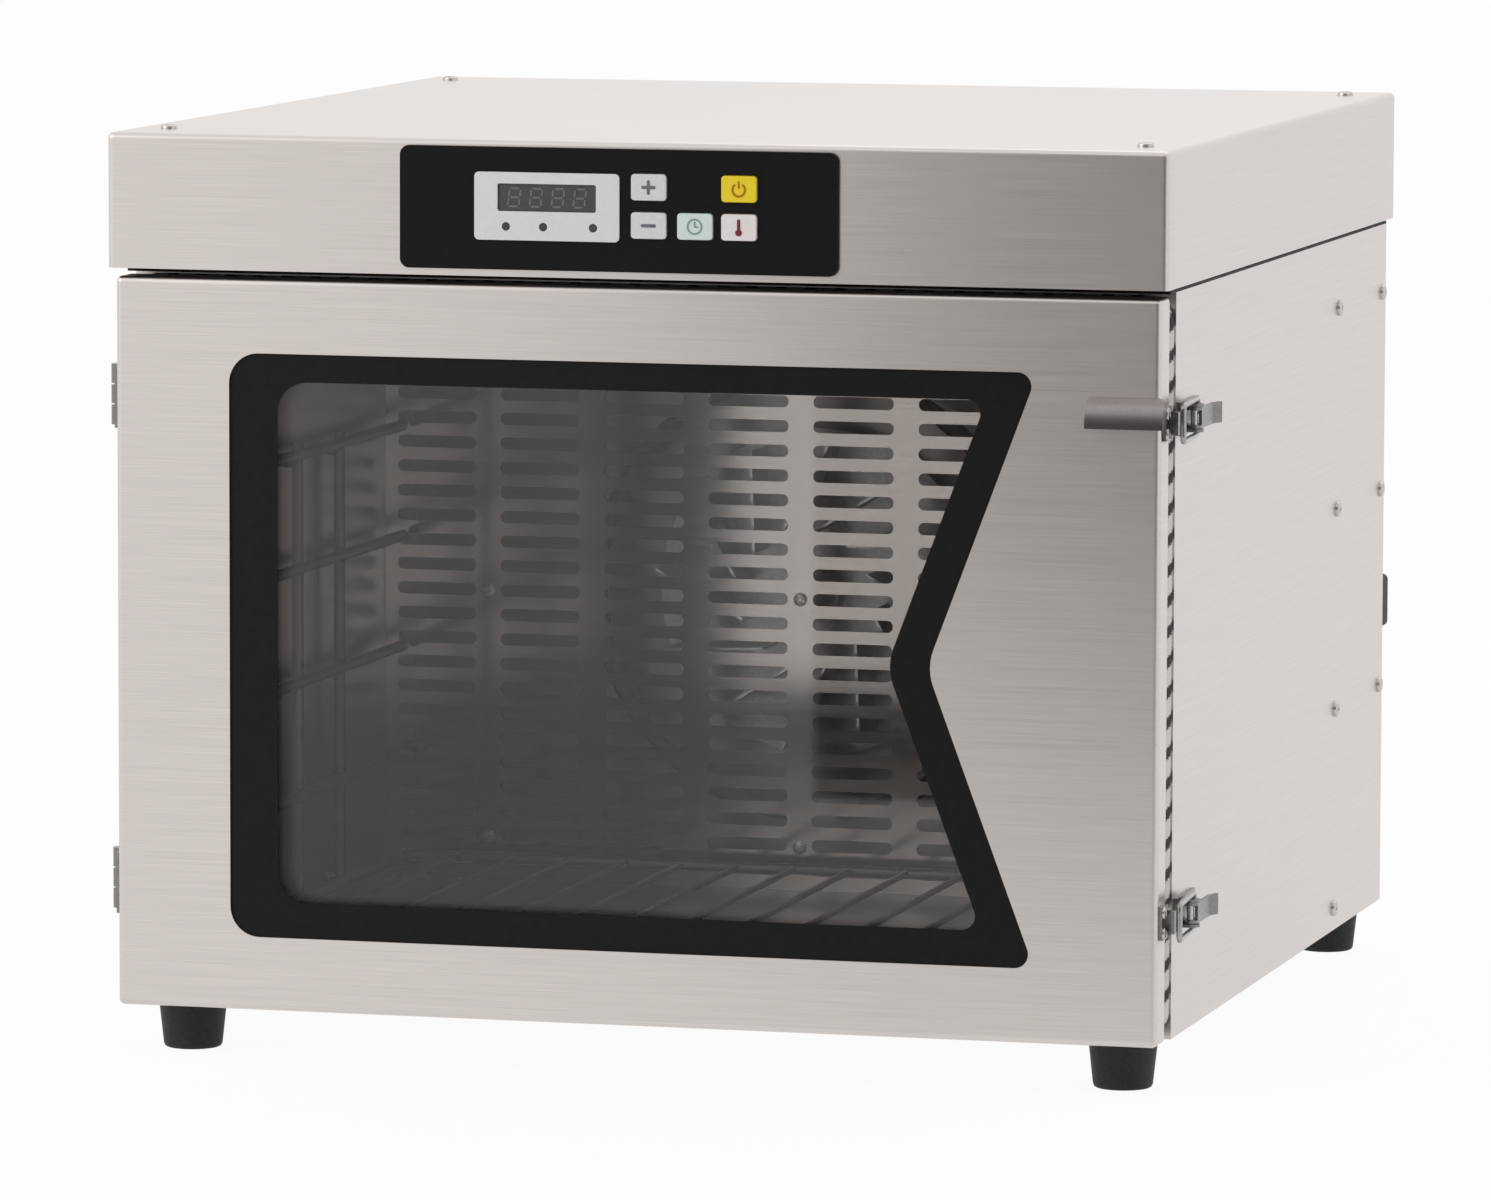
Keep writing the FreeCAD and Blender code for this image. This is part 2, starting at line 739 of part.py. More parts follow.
def control_fascia():
    """Black panel on the header front with holes for the display and the keys."""
    x0, x1 = fascia_shift - fascia_width / 2, fascia_shift + fascia_width / 2
    z0, z1 = fascia_z - fascia_height / 2, fascia_z + fascia_height / 2
    outline = rectangle_wire(x0, x1, z0, z1, fascia_front, fascia_corner)
    holes = [bezel_window(fascia_front, fit_gap)]
    for x, z in key_centres().values():
        w, h = key_width / 2 + key_side_gap, key_height / 2 + key_side_gap
        holes.append(rectangle_wire(x - w, x + w, z - h, z + h, fascia_front, key_corner + key_side_gap))
    panel = plate(outline, holes, fascia_thickness)
    return drill(panel, lamp_places(fascia_front), (0, 1, 0), lamp_hole, fascia_thickness * 2)


def bezel_window(y, gap):
    """Outline of the display window at a depth, let out by a gap."""
    x, z = fascia_shift + bezel_shift, fascia_z + display_rise
    w, h = display_width / 2 + gap, display_height / 2 + gap
    return rectangle_wire(x - w, x + w, z - h, z + h, y, bezel_corner / 2)


def lamp_places(y):
    """Centres of the three lamps at a depth."""
    x = fascia_shift + bezel_shift
    return [(x + dx, y, fascia_z - lamp_drop) for dx in lamp_offsets]


def key_centres():
    """Centre of each key in X and Z."""
    return {
        name: (fascia_shift + key_columns[column], fascia_z + key_rows[row])
        for name, (column, row) in key_places.items()
    }


def display_bezel():
    """Pale frame on the fascia round the display and the lamps."""
    x, z, y = fascia_shift + bezel_shift, fascia_z + bezel_rise, fascia_front - bezel_proud
    w, h = bezel_width / 2, bezel_height / 2
    outline = rectangle_wire(x - w, x + w, z - h, z + h, y, bezel_corner)
    frame = plate(outline, [bezel_window(y, fit_gap)], bezel_proud)
    return drill(frame, lamp_places(y), (0, 1, 0), lamp_hole, bezel_proud * 2)


def display_module():
    """Digit display block that fills the window and is soldered to the control board."""
    return plate(bezel_window(fascia_front, 0), [], board_y - fascia_front)


def indicator_lamps():
    """Three small lamps in the lower part of the bezel."""
    lamps = []
    for x, y, z in lamp_places(fascia_front - bezel_proud):
        lamps.append(rod((x, y, z), (x, board_y, z), lamp_radius))
    return lamps


def key(name):
    """Key cap with a retaining flange behind the fascia and a stem towards its switch."""
    x, z = key_centres()[name]
    w, h = key_width / 2, key_height / 2
    front = fascia_front - key_proud
    back = header_front + key_side_gap
    cap = plate(rectangle_wire(x - w, x + w, z - h, z + h, front, key_corner), [], back - front)
    rim = [e for e in cap.Edges if abs(e.BoundBox.YMax - front) < 1e-6]
    cap = cap.makeFillet(key_side_gap, rim)
    fw, fh = w + key_flange_margin, h + key_flange_margin
    flange = plate(rectangle_wire(x - fw, x + fw, z - fh, z + fh, back, key_corner), [], key_flange)
    stem = rod((x, back, z), (x, switch_face() - key_travel - key_side_gap, z), switch_size / 3)
    return join([cap, flange, stem])


def switch_face():
    """Front face of the key switches."""
    return board_y - switch_size / 2


def control_board():
    """Circuit board behind the fascia with a switch under each key and its controller chip."""
    y = board_y
    board = box(board_left, board_right, y, y + board_thickness,
                fascia_z - board_half, fascia_z + board_half)
    bits = [board]
    for x, z in key_centres().values():
        s = switch_size / 2
        bits.append(box(x - s, x + s, switch_face(), y, z - s, z + s))
    chip = switch_size * 1.5
    bits.append(box(fascia_shift - chip, fascia_shift + chip, y + board_thickness, y + board_thickness * 3,
                    fascia_z - chip, fascia_z + chip))
    for x in (board_left + switch_size / 2, board_right - switch_size / 2):
        for sz in (-1, 1):
            z = fascia_z + sz * (board_half - switch_size / 2)
            bits.append(rod((x, fascia_front + fascia_thickness, z), (x, y, z), switch_size / 3))
    return join(bits)


def power_board():
    """Supply and relay board on stand-offs in the header."""
    x, y = power_board_length / 2, power_board_width / 2
    deck = body_top + sheet
    z = deck + board_standoff
    bits = [box(-x, x, -y, y, z, z + board_thickness)]
    for sx in (-1, 1):
        for sy in (-1, 1):
            px, py = sx * (x - switch_size), sy * (y - switch_size)
            bits.append(rod((px, py, deck), (px, py, z), switch_size / 2))
    top = z + board_thickness
    for i, (w, d, h) in enumerate(power_blocks):
        cx = -x + power_board_length * (i + 0.5) / len(power_blocks)
        bits.append(box(cx - w / 2, cx + w / 2, -d / 2, d / 2, top, top + h))
    return join(bits)


def mains_inlet():
    """Appliance inlet in the rear panel: flanged block with a socket and three flat pins."""
    w, h = inlet_width / 2, inlet_height / 2
    outline = rectangle_wire(inlet_x - w, inlet_x + w, inlet_z - h, inlet_z + h, body_rear, inlet_corner)
    flange = plate(outline, [], inlet_flange)
    bw, bh = w - inlet_flange, h - inlet_flange
    block = box(inlet_x - bw, inlet_x + bw, body_rear - inlet_depth, body_rear, inlet_z - bh, inlet_z + bh)
    mouth = body_rear + inlet_flange
    sw, sh = inlet_socket_width / 2, inlet_socket_height / 2
    socket = box(inlet_x - sw, inlet_x + sw, mouth - inlet_socket_depth, mouth, inlet_z - sh, inlet_z + sh)
    inlet = flange.fuse(block).removeSplitter().cut(socket)
    pins = []
    for i in (-1, 0, 1):
        x, z = inlet_x + i * inlet_pin_spacing, inlet_z + (inlet_pin_size if i == 0 else -inlet_pin_size)
        p = inlet_pin_size / 2
        floor = mouth - inlet_socket_depth
        pins.append(box(x - p, x + p, floor, floor + inlet_pin_length, z - 2 * p, z + 2 * p))
    return join([inlet] + pins)


def feet():
    """Four tapered rubber feet with studs through the base pan."""
    shapes = []
    for x, y, z in foot_places:
        pad = Part.makeCone(foot_bottom_radius, foot_top_radius, foot_height, Vector(x, y, 0))
        stud = rod((x, y, z), (x, y, z + foot_stud_length), foot_stud_radius)
        shapes.append(pad.fuse(stud))
    return shapes


def rear_spacers():
    """Two blocks that keep the rear off the wall."""
    blocks = []
    for x, y, z in spacer_screw_places():
        w, h = spacer_width / 2, spacer_height / 2
        wire = rectangle_wire(x - w, x + w, z - h, z + h, y, bend_radius)
        block = Part.Face(wire).extrude(Vector(0, spacer_reach, 0))
        seat = y + spacer_reach - spacer_sink
        block = block.cut(rod((x, seat, z), (x, y + spacer_reach, z), screw_head_radius + hole_clearance))
        blocks.append(block.cut(rod((x, y, z), (x, seat, z), screw_hole)))
    return blocks


def case_screws():
    """Screws of the top cover, the side panels and the rear spacers."""
    screws = [case_screw(p, (0, 0, 1)) for p in top_screw_places()]
    for side in (-1, 1):
        screws += [case_screw((side * body_half, y, z), (side, 0, 0)) for y, z in panel_screw_spots]
    seat = spacer_reach - spacer_sink
    screws += [case_screw((x, y + seat, z), (0, 1, 0)) for x, y, z in spacer_screw_places()]
    return screws


def door_skin():
    """Folded stainless door pan with the notched window cut from its front."""
    half = body_half
    pan = box(-half, half, door_front, door_back, door_bottom, door_top)
    front_edge = door_front + 1e-3
    pan = bend(pan, lambda e: along(e, 1) or e.CenterOfMass.y < front_edge)
    inner = half - sheet
    hollow = box(-inner, inner, door_front + sheet, door_back, door_bottom + sheet, door_top - sheet)
    pan = pan.cut(hollow)
    window = Part.Face(window_wire(door_front, 0, window_corner)).extrude(Vector(0, sheet, 0))
    pan = pan.cut(window)
    pan = drill(pan, hinge_screw_places(-1), (1, 0, 0), small_hole, 2 * sheet)
    return drill(pan, keeper_screw_places(), (1, 0, 0), small_hole, 2 * sheet)


def window_points(y, inset):
    """Corners of the window at a depth; inset 0 is the cut-out, 1 the inner edge of the band."""
    bottom, top = door_bottom + window_margin, door_top - window_margin
    middle = (bottom + top) / 2
    lean = (window_right - window_notch) / (top - middle)
    low, high = bottom + inset * band_bottom, top - inset * band_top
    notch = window_notch - inset * band_right
    left = -window_left + inset * band_left
    corners = [(left, low), (notch + lean * (middle - low), low), (notch, middle),
               (notch + lean * (high - middle), high), (left, high)]
    return [Vector(x, y, z) for x, z in corners]


def window_wire(y, inset, corner):
    """Rounded outline of the window, with tighter corners at the two tips beside the notch."""
    tip = window_tip_corner
    return rounded_wire(window_points(y, inset), [corner, tip, notch_corner, tip, corner])


def glass_wire(y, margin, corner):
    """Plain rounded rectangle that covers the window by a margin."""
    points = window_points(y, 0)
    xs, zs = [p.x for p in points], [p.z for p in points]
    return rectangle_wire(min(xs) - margin, max(xs) + margin, min(zs) - margin, max(zs) + margin, y, corner)


band_y = door_front + sheet
outer_glass_y = band_y + band_thickness
spacer_y = outer_glass_y + glass_thickness
back_panel_y = door_back - sheet
inner_glass_y = back_panel_y - glass_thickness


def glass_band():
    """Black band between the door skin and the outer glass, open over the clear window."""
    outline = glass_wire(band_y, glass_margin, window_corner)
    return plate(outline, [window_wire(band_y, 1, window_corner)], band_thickness)


def outer_glass():
    """Front pane behind the band."""
    return plate(glass_wire(outer_glass_y, glass_margin, window_corner), [], glass_thickness)


def glazing_frame():
    """Spacer frame that holds the two panes apart."""
    outer = glass_wire(spacer_y, inner_glass_margin, window_corner)
    return plate(outer, [glazing_opening(spacer_y)], inner_glass_y - spacer_y)


def glazing_opening(y):
    """Clear opening inside the spacer frame at a depth."""
    return glass_wire(y, inner_glass_margin - glazing_width, window_corner - glazing_width / 2)


def inner_glass():
    """Rear pane clamped between the spacer frame and the back panel."""
    return plate(glass_wire(inner_glass_y, inner_glass_margin, window_corner), [], glass_thickness)


def door_back_panel():
    """Inner sheet of the door, open over the rear pane."""
    half = body_half - sheet - fit_gap
    z0, z1 = door_bottom + sheet + fit_gap, door_top - sheet - fit_gap
    outline = rectangle_wire(-half, half, z0, z1, back_panel_y, bend_radius)
    return plate(outline, [glazing_opening(back_panel_y)], sheet)


def door_insulation():
    """Board that fills the door pan round the glazing."""
    y = outer_glass_y
    half = body_half - sheet - small_screw_length
    z0, z1 = door_bottom + sheet + fit_gap, door_top - sheet - fit_gap
    outline = rectangle_wire(-half, half, z0, z1, y, bend_radius)
    return plate(outline, [glass_wire(y, glass_margin + fit_gap, window_corner)], back_panel_y - y)


def door_gasket():
    """Rope seal laid in a ring on the front frame, just clear of the shut door."""
    half = body_half - gasket_inset
    z0, z1 = base_z + gasket_inset, door_top - gasket_inset
    y = door_back + gasket_clearance
    outer = rectangle_wire(-half, half, z0, z1, y, gasket_corner)
    w = gasket_width
    inner = rectangle_wire(-half + w, half - w, z0 + w, z1 - w, y, gasket_corner / 2)
    return plate(outer, [inner], body_front - y)


def door_pull():
    """Short rounded hood on the door front, hollow below for the fingers."""
    x1 = body_half + pull_overhang
    x0 = x1 - pull_length
    bottom = hardware_levels["upper"] + pull_rise - pull_height / 2
    outer = pull_profile(x0, bottom, 0).extrude(Vector(pull_length, 0, 0))
    inner = pull_profile(x0 + sheet, bottom, sheet).extrude(Vector(pull_length - 2 * sheet, 0, 0))
    return outer.cut(inner)


def pull_profile(x, bottom, wall):
    """Side view of the hood: flat on the door, round in front; a wall pulls it in."""
    top, reach, foot = bottom + pull_height - wall, pull_reach - wall, bottom
    a, b, c = (Vector(x, door_front, foot), Vector(x, door_front - reach, foot), Vector(x, door_front, top))
    swell = math.sqrt(pull_round)
    mid = Vector(x, door_front - reach * swell, foot + (top - foot) * swell * pull_shoulder)
    sides = [Part.LineSegment(a, b), Part.Arc(b, mid, c), Part.LineSegment(c, a)]
    return Part.Face(Part.Wire([side.toShape() for side in sides]))


def hinge_leaf(level, sign):
    """Leaf on the body (sign +1, outer knuckles) or on the door (sign -1, middle knuckle)."""
    bottom, third = level - hinge_height / 2, hinge_height / 3
    start = hinge_y + sign * leaf_start
    y0, y1 = sorted((start, start + sign * leaf_length))
    x0, x1 = -body_half - leaf_thickness, -body_half
    bits = [box(x0, x1, y0, y1, bottom, bottom + hinge_height)]
    spans = [(0, 1), (2, 3)] if sign > 0 else [(1, 2)]
    bore = pin_radius + (seat_clearance if sign > 0 else running_clearance)
    web0, web1 = sorted((hinge_y, start))
    for low, high in spans:
        z0 = bottom + low * third + (knuckle_gap if low else 0)
        z1 = bottom + high * third - (knuckle_gap if high < 3 else 0)
        bits.append(rod((hinge_x, hinge_y, z0), (hinge_x, hinge_y, z1), knuckle_radius))
        bits.append(box(x0, x1, web0, web1, z0, z1))
    leaf = drill(join(bits), [(hinge_x, hinge_y, level)], (0, 0, 1), bore, hinge_height)
    return drill(leaf, hinge_screw_places(sign), (1, 0, 0), small_hole, 2 * leaf_thickness)


def hinge_pins():
    """One pin for each hinge, held in the body leaf."""
    half = hinge_height / 2 + leaf_thickness / 2
    return [rod((hinge_x, hinge_y, z - half), (hinge_x, hinge_y, z + half), pin_radius)
            for z in hardware_levels.values()]


def latch_base(level):
    """Base plate on the side panel with two ears for the lever pin."""
    x, y = latch_pivot_x, latch_pivot_y
    y0 = body_front + base_setback
    half = base_height / 2
    plate_top = body_half + leaf_thickness
    bits = [box(body_half, plate_top, y0, y0 + base_length, level - half, level + half)]
    for side in (-1, 1):
        z0, z1 = sorted((level + side * (ear_outer - ear_thickness), level + side * ear_outer))
        bits.append(box(body_half, x, y - ear_radius, y + ear_radius, z0, z1))
        bits.append(rod((x, y, z0), (x, y, z1), ear_radius))
    base = drill(join(bits), [(x, y, level)], (0, 0, 1), pin_radius + seat_clearance, ear_outer)
    return drill(base, base_screw_places(), (1, 0, 0), small_hole, 2 * leaf_thickness)


def latch_pins():
    """Lever pin of each latch, riveted in the ears."""
    x, y = latch_pivot_x, latch_pivot_y
    return [rod((x, y, z - ear_outer), (x, y, z + ear_outer), pin_radius) for z in hardware_levels.values()]


def latch_lever(level):
    """Channel lever on the pin, lying back along the side, with a lifted finger lip."""
    x, y = latch_pivot_x, latch_pivot_y
    top = x + lever_round
    bits = [box(top - lever_wall, top, y, y + lever_length, level - lever_half, level + lever_half)]
    lip = box(top - lever_wall, top, y + lever_length, y + lever_length + lever_lip,
              level - lever_half, level + lever_half)
    lip.rotate(Vector(top - lever_wall, y + lever_length, level), Vector(0, 0, 1), -lever_lip_deg)
    bits.append(lip)
    for side in (-1, 1):
        z0, z1 = sorted((level + side * (lever_half - lever_wall), level + side * lever_half))
        bits.append(rod((x, y, z0), (x, y, z1), lever_round))
        bits.append(box(x - lever_round + fit_gap, top, y, y + lever_cheek_length, z0, z1))
    lever = drill(join(bits), [(x, y, level)], (0, 0, 1), pin_radius + running_clearance, ear_outer)
    loop_bore = loop_wire_radius + running_clearance
    return drill(lever, [(x, y + loop_pivot, level)], (0, 0, 1), loop_bore, ear_outer)


def latch_loop(level):
    """Wire bail hung in the lever cheeks that reaches over the keeper, lifted just clear of it."""
    x0, y0 = latch_pivot_x, loop_pivot_y
    x1, y1 = body_half + keeper_hook_height + loop_lift + loop_wire_radius, keeper_y
    r = loop_wire_radius
    inner = lever_half - lever_wall - fit_gap
    bits = [rod((x1, y1, level - loop_half), (x1, y1, level + loop_half), r)]
    for side in (-1, 1):
        z = level + side * loop_half
        bits.append(rod((x0, y0, z), (x1, y1, z), r))
        bits.append(rod((x0, y0, level + side * inner), (x0, y0, z), r))
        bits += [Part.makeSphere(r, Vector(x0, y0, z)), Part.makeSphere(r, Vector(x1, y1, z))]
    return join(bits)


def latch_keeper(level):
    """Hook plate on the side of the door that the loop draws on."""
    half = base_height / 2
    top = body_half + leaf_thickness
    tip = body_half + keeper_hook_height
    y0 = keeper_y - keeper_length / 2
    y1 = min(y0 + keeper_length, door_back)
    post = keeper_y + loop_wire_radius + fit_gap
    back = post + leaf_thickness
    z0, z1 = level - keeper_hook_half, level + keeper_hook_half
    bits = [
        box(body_half, top, y0, y1, level - half, level + half),
        box(body_half, tip, post, back, z0, z1),
        box(tip - keeper_lip, tip, back - keeper_reach, back, z0, z1),
    ]
    return drill(join(bits), keeper_screw_places(), (1, 0, 0), small_hole, 2 * leaf_thickness)


def hardware_screws(left_places, right_places):
    """Small screws that hold leaves on the left side and plates on the right side."""
    screws = [small_screw((x - leaf_thickness, y, z), (-1, 0, 0)) for x, y, z in left_places]
    screws += [small_screw((x + leaf_thickness, y, z), (1, 0, 0)) for x, y, z in right_places]
    return screws


export("base_pan", base_pan())
export("left_side_panel", side_panel(-1))
export("right_side_panel", side_panel(1))
export("rear_panel", rear_panel())
export("front_frame", front_frame())
export("chamber_liner", chamber_liner())
export("bulkhead", bulkhead())
export("insulation_boards", insulation())
export("air_panel", air_panel())
export("left_rack_rail", rack_rail(-1))
export("right_rack_rail", rack_rail(1))
export("wire_rack", wire_rack())
export("heater_ring", heater_ring())
export("thermocouple", thermocouple())
export("fan_impeller", fan_impeller())
export("fan_shaft", fan_shaft())
export("fan_motor", fan_motor())
export("header_deck", header_deck())
export("top_cover", top_cover())
export("control_fascia", control_fascia())
export("display_bezel", display_bezel())
export("display_module", display_module())
export("indicator_lamps", indicator_lamps())
export("control_board", control_board())
export("power_board", power_board())
export("mains_inlet", mains_inlet())
export("feet", feet())
export("rear_spacers", rear_spacers())
export("case_screws", case_screws())
export("door_skin", door_skin())
export("glass_band", glass_band())
export("outer_glass", outer_glass())
export("glazing_frame", glazing_frame())
export("inner_glass", inner_glass())
export("door_back_panel", door_back_panel())
export("door_insulation", door_insulation())
export("door_gasket", door_gasket())
export("door_pull", door_pull())
export("hinge_pins", hinge_pins())
export("latch_pins", latch_pins())
export("body_hardware_screws", hardware_screws(hinge_screw_places(1), base_screw_places()))
export("door_hardware_screws", hardware_screws(hinge_screw_places(-1), keeper_screw_places()))
for name in key_places:
    export(name, key(name))
for place, level in hardware_levels.items():
    export(place + "_hinge_body_leaf", hinge_leaf(level, 1))
    export(place + "_hinge_door_leaf", hinge_leaf(level, -1))
    export(place + "_latch_base", latch_base(level))
    export(place + "_latch_lever", latch_lever(level))
    export(place + "_latch_loop", latch_loop(level))
    export(place + "_latch_keeper", latch_keeper(level))
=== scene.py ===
"""Benchtop reflow oven in brushed stainless steel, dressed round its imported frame."""
import json
import math

import bmesh
import bpy
import numpy as np
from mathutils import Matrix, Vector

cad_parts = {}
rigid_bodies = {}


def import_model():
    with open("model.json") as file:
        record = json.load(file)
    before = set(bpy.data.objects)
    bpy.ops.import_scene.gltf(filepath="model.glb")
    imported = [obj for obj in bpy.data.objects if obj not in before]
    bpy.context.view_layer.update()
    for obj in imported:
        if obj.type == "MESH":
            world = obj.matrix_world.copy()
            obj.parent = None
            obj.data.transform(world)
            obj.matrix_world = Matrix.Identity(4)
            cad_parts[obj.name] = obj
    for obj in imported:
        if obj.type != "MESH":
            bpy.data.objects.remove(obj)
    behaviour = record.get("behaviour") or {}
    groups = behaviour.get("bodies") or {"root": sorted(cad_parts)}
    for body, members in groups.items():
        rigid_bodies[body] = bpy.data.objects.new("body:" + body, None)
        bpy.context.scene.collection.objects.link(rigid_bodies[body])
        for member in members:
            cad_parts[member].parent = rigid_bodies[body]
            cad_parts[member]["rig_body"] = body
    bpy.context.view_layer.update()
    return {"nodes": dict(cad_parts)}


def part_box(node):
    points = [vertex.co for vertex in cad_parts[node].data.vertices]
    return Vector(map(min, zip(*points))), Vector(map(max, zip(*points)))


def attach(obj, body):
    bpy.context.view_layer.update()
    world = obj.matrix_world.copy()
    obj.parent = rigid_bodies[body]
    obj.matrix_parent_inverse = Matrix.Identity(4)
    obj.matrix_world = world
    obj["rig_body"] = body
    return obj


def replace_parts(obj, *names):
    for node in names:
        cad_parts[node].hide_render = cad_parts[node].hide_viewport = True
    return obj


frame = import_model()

# Studio: a long lens to the right of the front, a white floor that runs out of sight, broad soft lamps,
# and a dark card at the right of the lens that the brushed front mirrors, so that it fades across.
scene = bpy.context.scene
scene.view_settings.view_transform = "Standard"

camera_data = bpy.data.cameras.new("camera")
camera_data.sensor_width = 36.0
camera_data.lens = 232.2
camera_data.shift_x = 0.0011
camera_data.clip_end = 200.0
camera = bpy.data.objects.new("camera", camera_data)
camera.location = (1.0818, -4.0996, 0.6299)
camera.rotation_euler = (math.radians(83.92), math.radians(-0.17), math.radians(14.99))
scene.collection.objects.link(camera)
scene.camera = camera


def finish_of(name):
    """A new node material: the material, its node tree and its surface shader."""
    material = bpy.data.materials.new(name)
    material.use_nodes = True
    tree = material.node_tree
    return material, tree, tree.nodes["Principled BSDF"]


def node(tree, kind, **values):
    """A node of that kind, with its settings and its named inputs filled in."""
    made = tree.nodes.new("ShaderNode" + kind)
    for key, value in values.items():
        if hasattr(made, key):
            setattr(made, key, value)
        else:
            made.inputs[key.replace("_", " ")].default_value = value
    return made


def seen_directly(tree):
    """One for camera, glossy and transmitted rays, nought for the rest."""
    path = node(tree, "LightPath")
    total = path.outputs["Is Camera Ray"]
    for ray in ("Is Glossy Ray", "Is Transmission Ray"):
        either = node(tree, "Math", operation="MAXIMUM")
        tree.links.new(total, either.inputs[0])
        tree.links.new(path.outputs[ray], either.inputs[1])
        total = either.outputs[0]
    return total


world = bpy.data.worlds.new("white_room")
scene.world = world
world.use_nodes = True
room = world.node_tree
room_light = room.nodes["Background"]
room_light.inputs["Color"].default_value = (1.0, 1.0, 1.0, 1.0)
room_level = node(room, "MapRange", To_Min=0.72, To_Max=1.0)
room.links.new(seen_directly(room), room_level.inputs["Value"])
room.links.new(room_level.outputs["Result"], room_light.inputs["Strength"])

floor_white, tree, paint = finish_of("floor_white")
paint.inputs["Base Color"].default_value = (0.95, 0.95, 0.95, 1.0)
paint.inputs["Roughness"].default_value = 0.9
paint.inputs["Specular IOR Level"].default_value = 0.1
glow = node(tree, "Emission", Color=(1.0, 1.0, 1.0, 1.0), Strength=1.0)
floor_mix = node(tree, "MixShader")
floor_share = node(tree, "Math", operation="MULTIPLY")
floor_share.inputs[1].default_value = 0.94
tree.links.new(seen_directly(tree), floor_share.inputs[0])
tree.links.new(floor_share.outputs[0], floor_mix.inputs["Fac"])
tree.links.new(paint.outputs[0], floor_mix.inputs[1])
tree.links.new(glow.outputs[0], floor_mix.inputs[2])
tree.links.new(floor_mix.outputs[0], tree.nodes["Material Output"].inputs["Surface"])

card_grey, tree, paint = finish_of("card_grey")
paint.inputs["Base Color"].default_value = (0.27, 0.26, 0.252, 1.0)
paint.inputs["Roughness"].default_value = 0.9


def studio_sheet(name, corners, material):
    """One flat four-sided sheet through the given corners."""
    mesh = bpy.data.meshes.new(name)
    mesh.from_pydata(corners, [], [(0, 1, 2, 3)])
    mesh.materials.append(material)
    piece = bpy.data.objects.new(name, mesh)
    scene.collection.objects.link(piece)
    return piece


def soft_lamp(name, place, target, size, power):
    """A soft rectangular lamp at a place, turned to face a target point."""
    data = bpy.data.lights.new(name, "AREA")
    data.shape = "RECTANGLE"
    data.size, data.size_y = size
    data.energy = power
    lamp = bpy.data.objects.new(name, data)
    lamp.location = place
    aim = np.subtract(target, place)
    rise = math.atan2(aim[2], math.hypot(aim[0], aim[1]))
    lamp.rotation_euler = (math.pi / 2 + rise, 0.0, math.atan2(-aim[0], aim[1]))
    scene.collection.objects.link(lamp)


floor_reach = 60.0
studio_sheet("floor", [(-floor_reach, -floor_reach, 0.0), (floor_reach, -floor_reach, 0.0),
                       (floor_reach, floor_reach, 0.0), (-floor_reach, floor_reach, 0.0)], floor_white)
card_left, card_right, card_y = -0.16, 1.25, -1.15
card_low, card_high = 0.001, 0.95
card = studio_sheet("card", [(card_left, card_y, card_low), (card_right, card_y, card_low),
                             (card_right, card_y, card_high), (card_left, card_y, card_high)], card_grey)
card.visible_camera = False
soft_lamp("left_lamp", (-2.0, -1.8, 1.5), (0.0, 0.0, 0.2), (1.4, 1.4), 16.0)
soft_lamp("top_lamp", (0.3, 1.2, 2.2), (0.0, 0.0, 0.39), (2.2, 1.6), 7.5)

# Casing: hood, side and rear panels, base pan and front frame, each folded from stainless sheet
# with a fine brushed grain, which runs across the front and the top and from front to back on the sides.
steel_tone = (0.655, 0.612, 0.585)


def brushed(name, tone, gloss, relief, fleck, cloud_share):
    """Steel whose grain is noise drawn out along X on faces that look to Y or Z, and along Y on faces
    that look to X. The grain shades the tone, the gloss and a faint relief; a soft cloud varies the gloss."""
    material, tree, surface = finish_of(name)
    link = tree.links.new
    fine, coarse = 1900.0, 14.0
    place = node(tree, "TexCoord")
    looks = node(tree, "SeparateXYZ")
    link(place.outputs["Normal"], looks.inputs[0])
    sideways = node(tree, "Math", operation="ABSOLUTE")
    link(looks.outputs["X"], sideways.inputs[0])
    on_side = node(tree, "Math", operation="GREATER_THAN")
    on_side.inputs[1].default_value = 0.75
    link(sideways.outputs[0], on_side.inputs[0])
    drawn = node(tree, "Mix", data_type="VECTOR")
    drawn.inputs[4].default_value = (coarse, fine, fine)
    drawn.inputs[5].default_value = (fine, coarse, fine)
    link(on_side.outputs[0], drawn.inputs["Factor"])
    spot = node(tree, "VectorMath", operation="MULTIPLY")
    link(place.outputs["Object"], spot.inputs[0])
    link(drawn.outputs[1], spot.inputs[1])
    grain = node(tree, "TexNoise", Scale=1.0, Detail=3.0, Roughness=0.55)
    link(spot.outputs[0], grain.inputs["Vector"])
    cloud = node(tree, "TexNoise", Scale=6.0, Detail=4.0, Roughness=0.6)
    link(place.outputs["Object"], cloud.inputs["Vector"])
    level = node(tree, "MapRange", From_Min=0.25, From_Max=0.75, To_Min=1.0 - fleck, To_Max=1.0 + fleck)
    link(grain.outputs["Fac"], level.inputs["Value"])
    shade = node(tree, "VectorMath", operation="SCALE")
    shade.inputs[0].default_value = tone
    link(level.outputs["Result"], shade.inputs["Scale"])
    link(shade.outputs[0], surface.inputs["Base Color"])
    clouded = node(tree, "Math", operation="MULTIPLY_ADD")
    clouded.inputs[1].default_value = cloud_share
    link(cloud.outputs["Fac"], clouded.inputs[0])
    link(grain.outputs["Fac"], clouded.inputs[2])
    polish = node(tree, "MapRange", From_Min=0.3, From_Max=0.8 + cloud_share,
                  To_Min=gloss - 0.05, To_Max=gloss + 0.07)
    link(clouded.outputs[0], polish.inputs["Value"])
    link(polish.outputs["Result"], surface.inputs["Roughness"])
    bump = node(tree, "Bump", Strength=relief, Distance=0.0002)
    link(grain.outputs["Fac"], bump.inputs["Height"])
    link(bump.outputs["Normal"], surface.inputs["Normal"])
    surface.inputs["Metallic"].default_value = 1.0
    return material


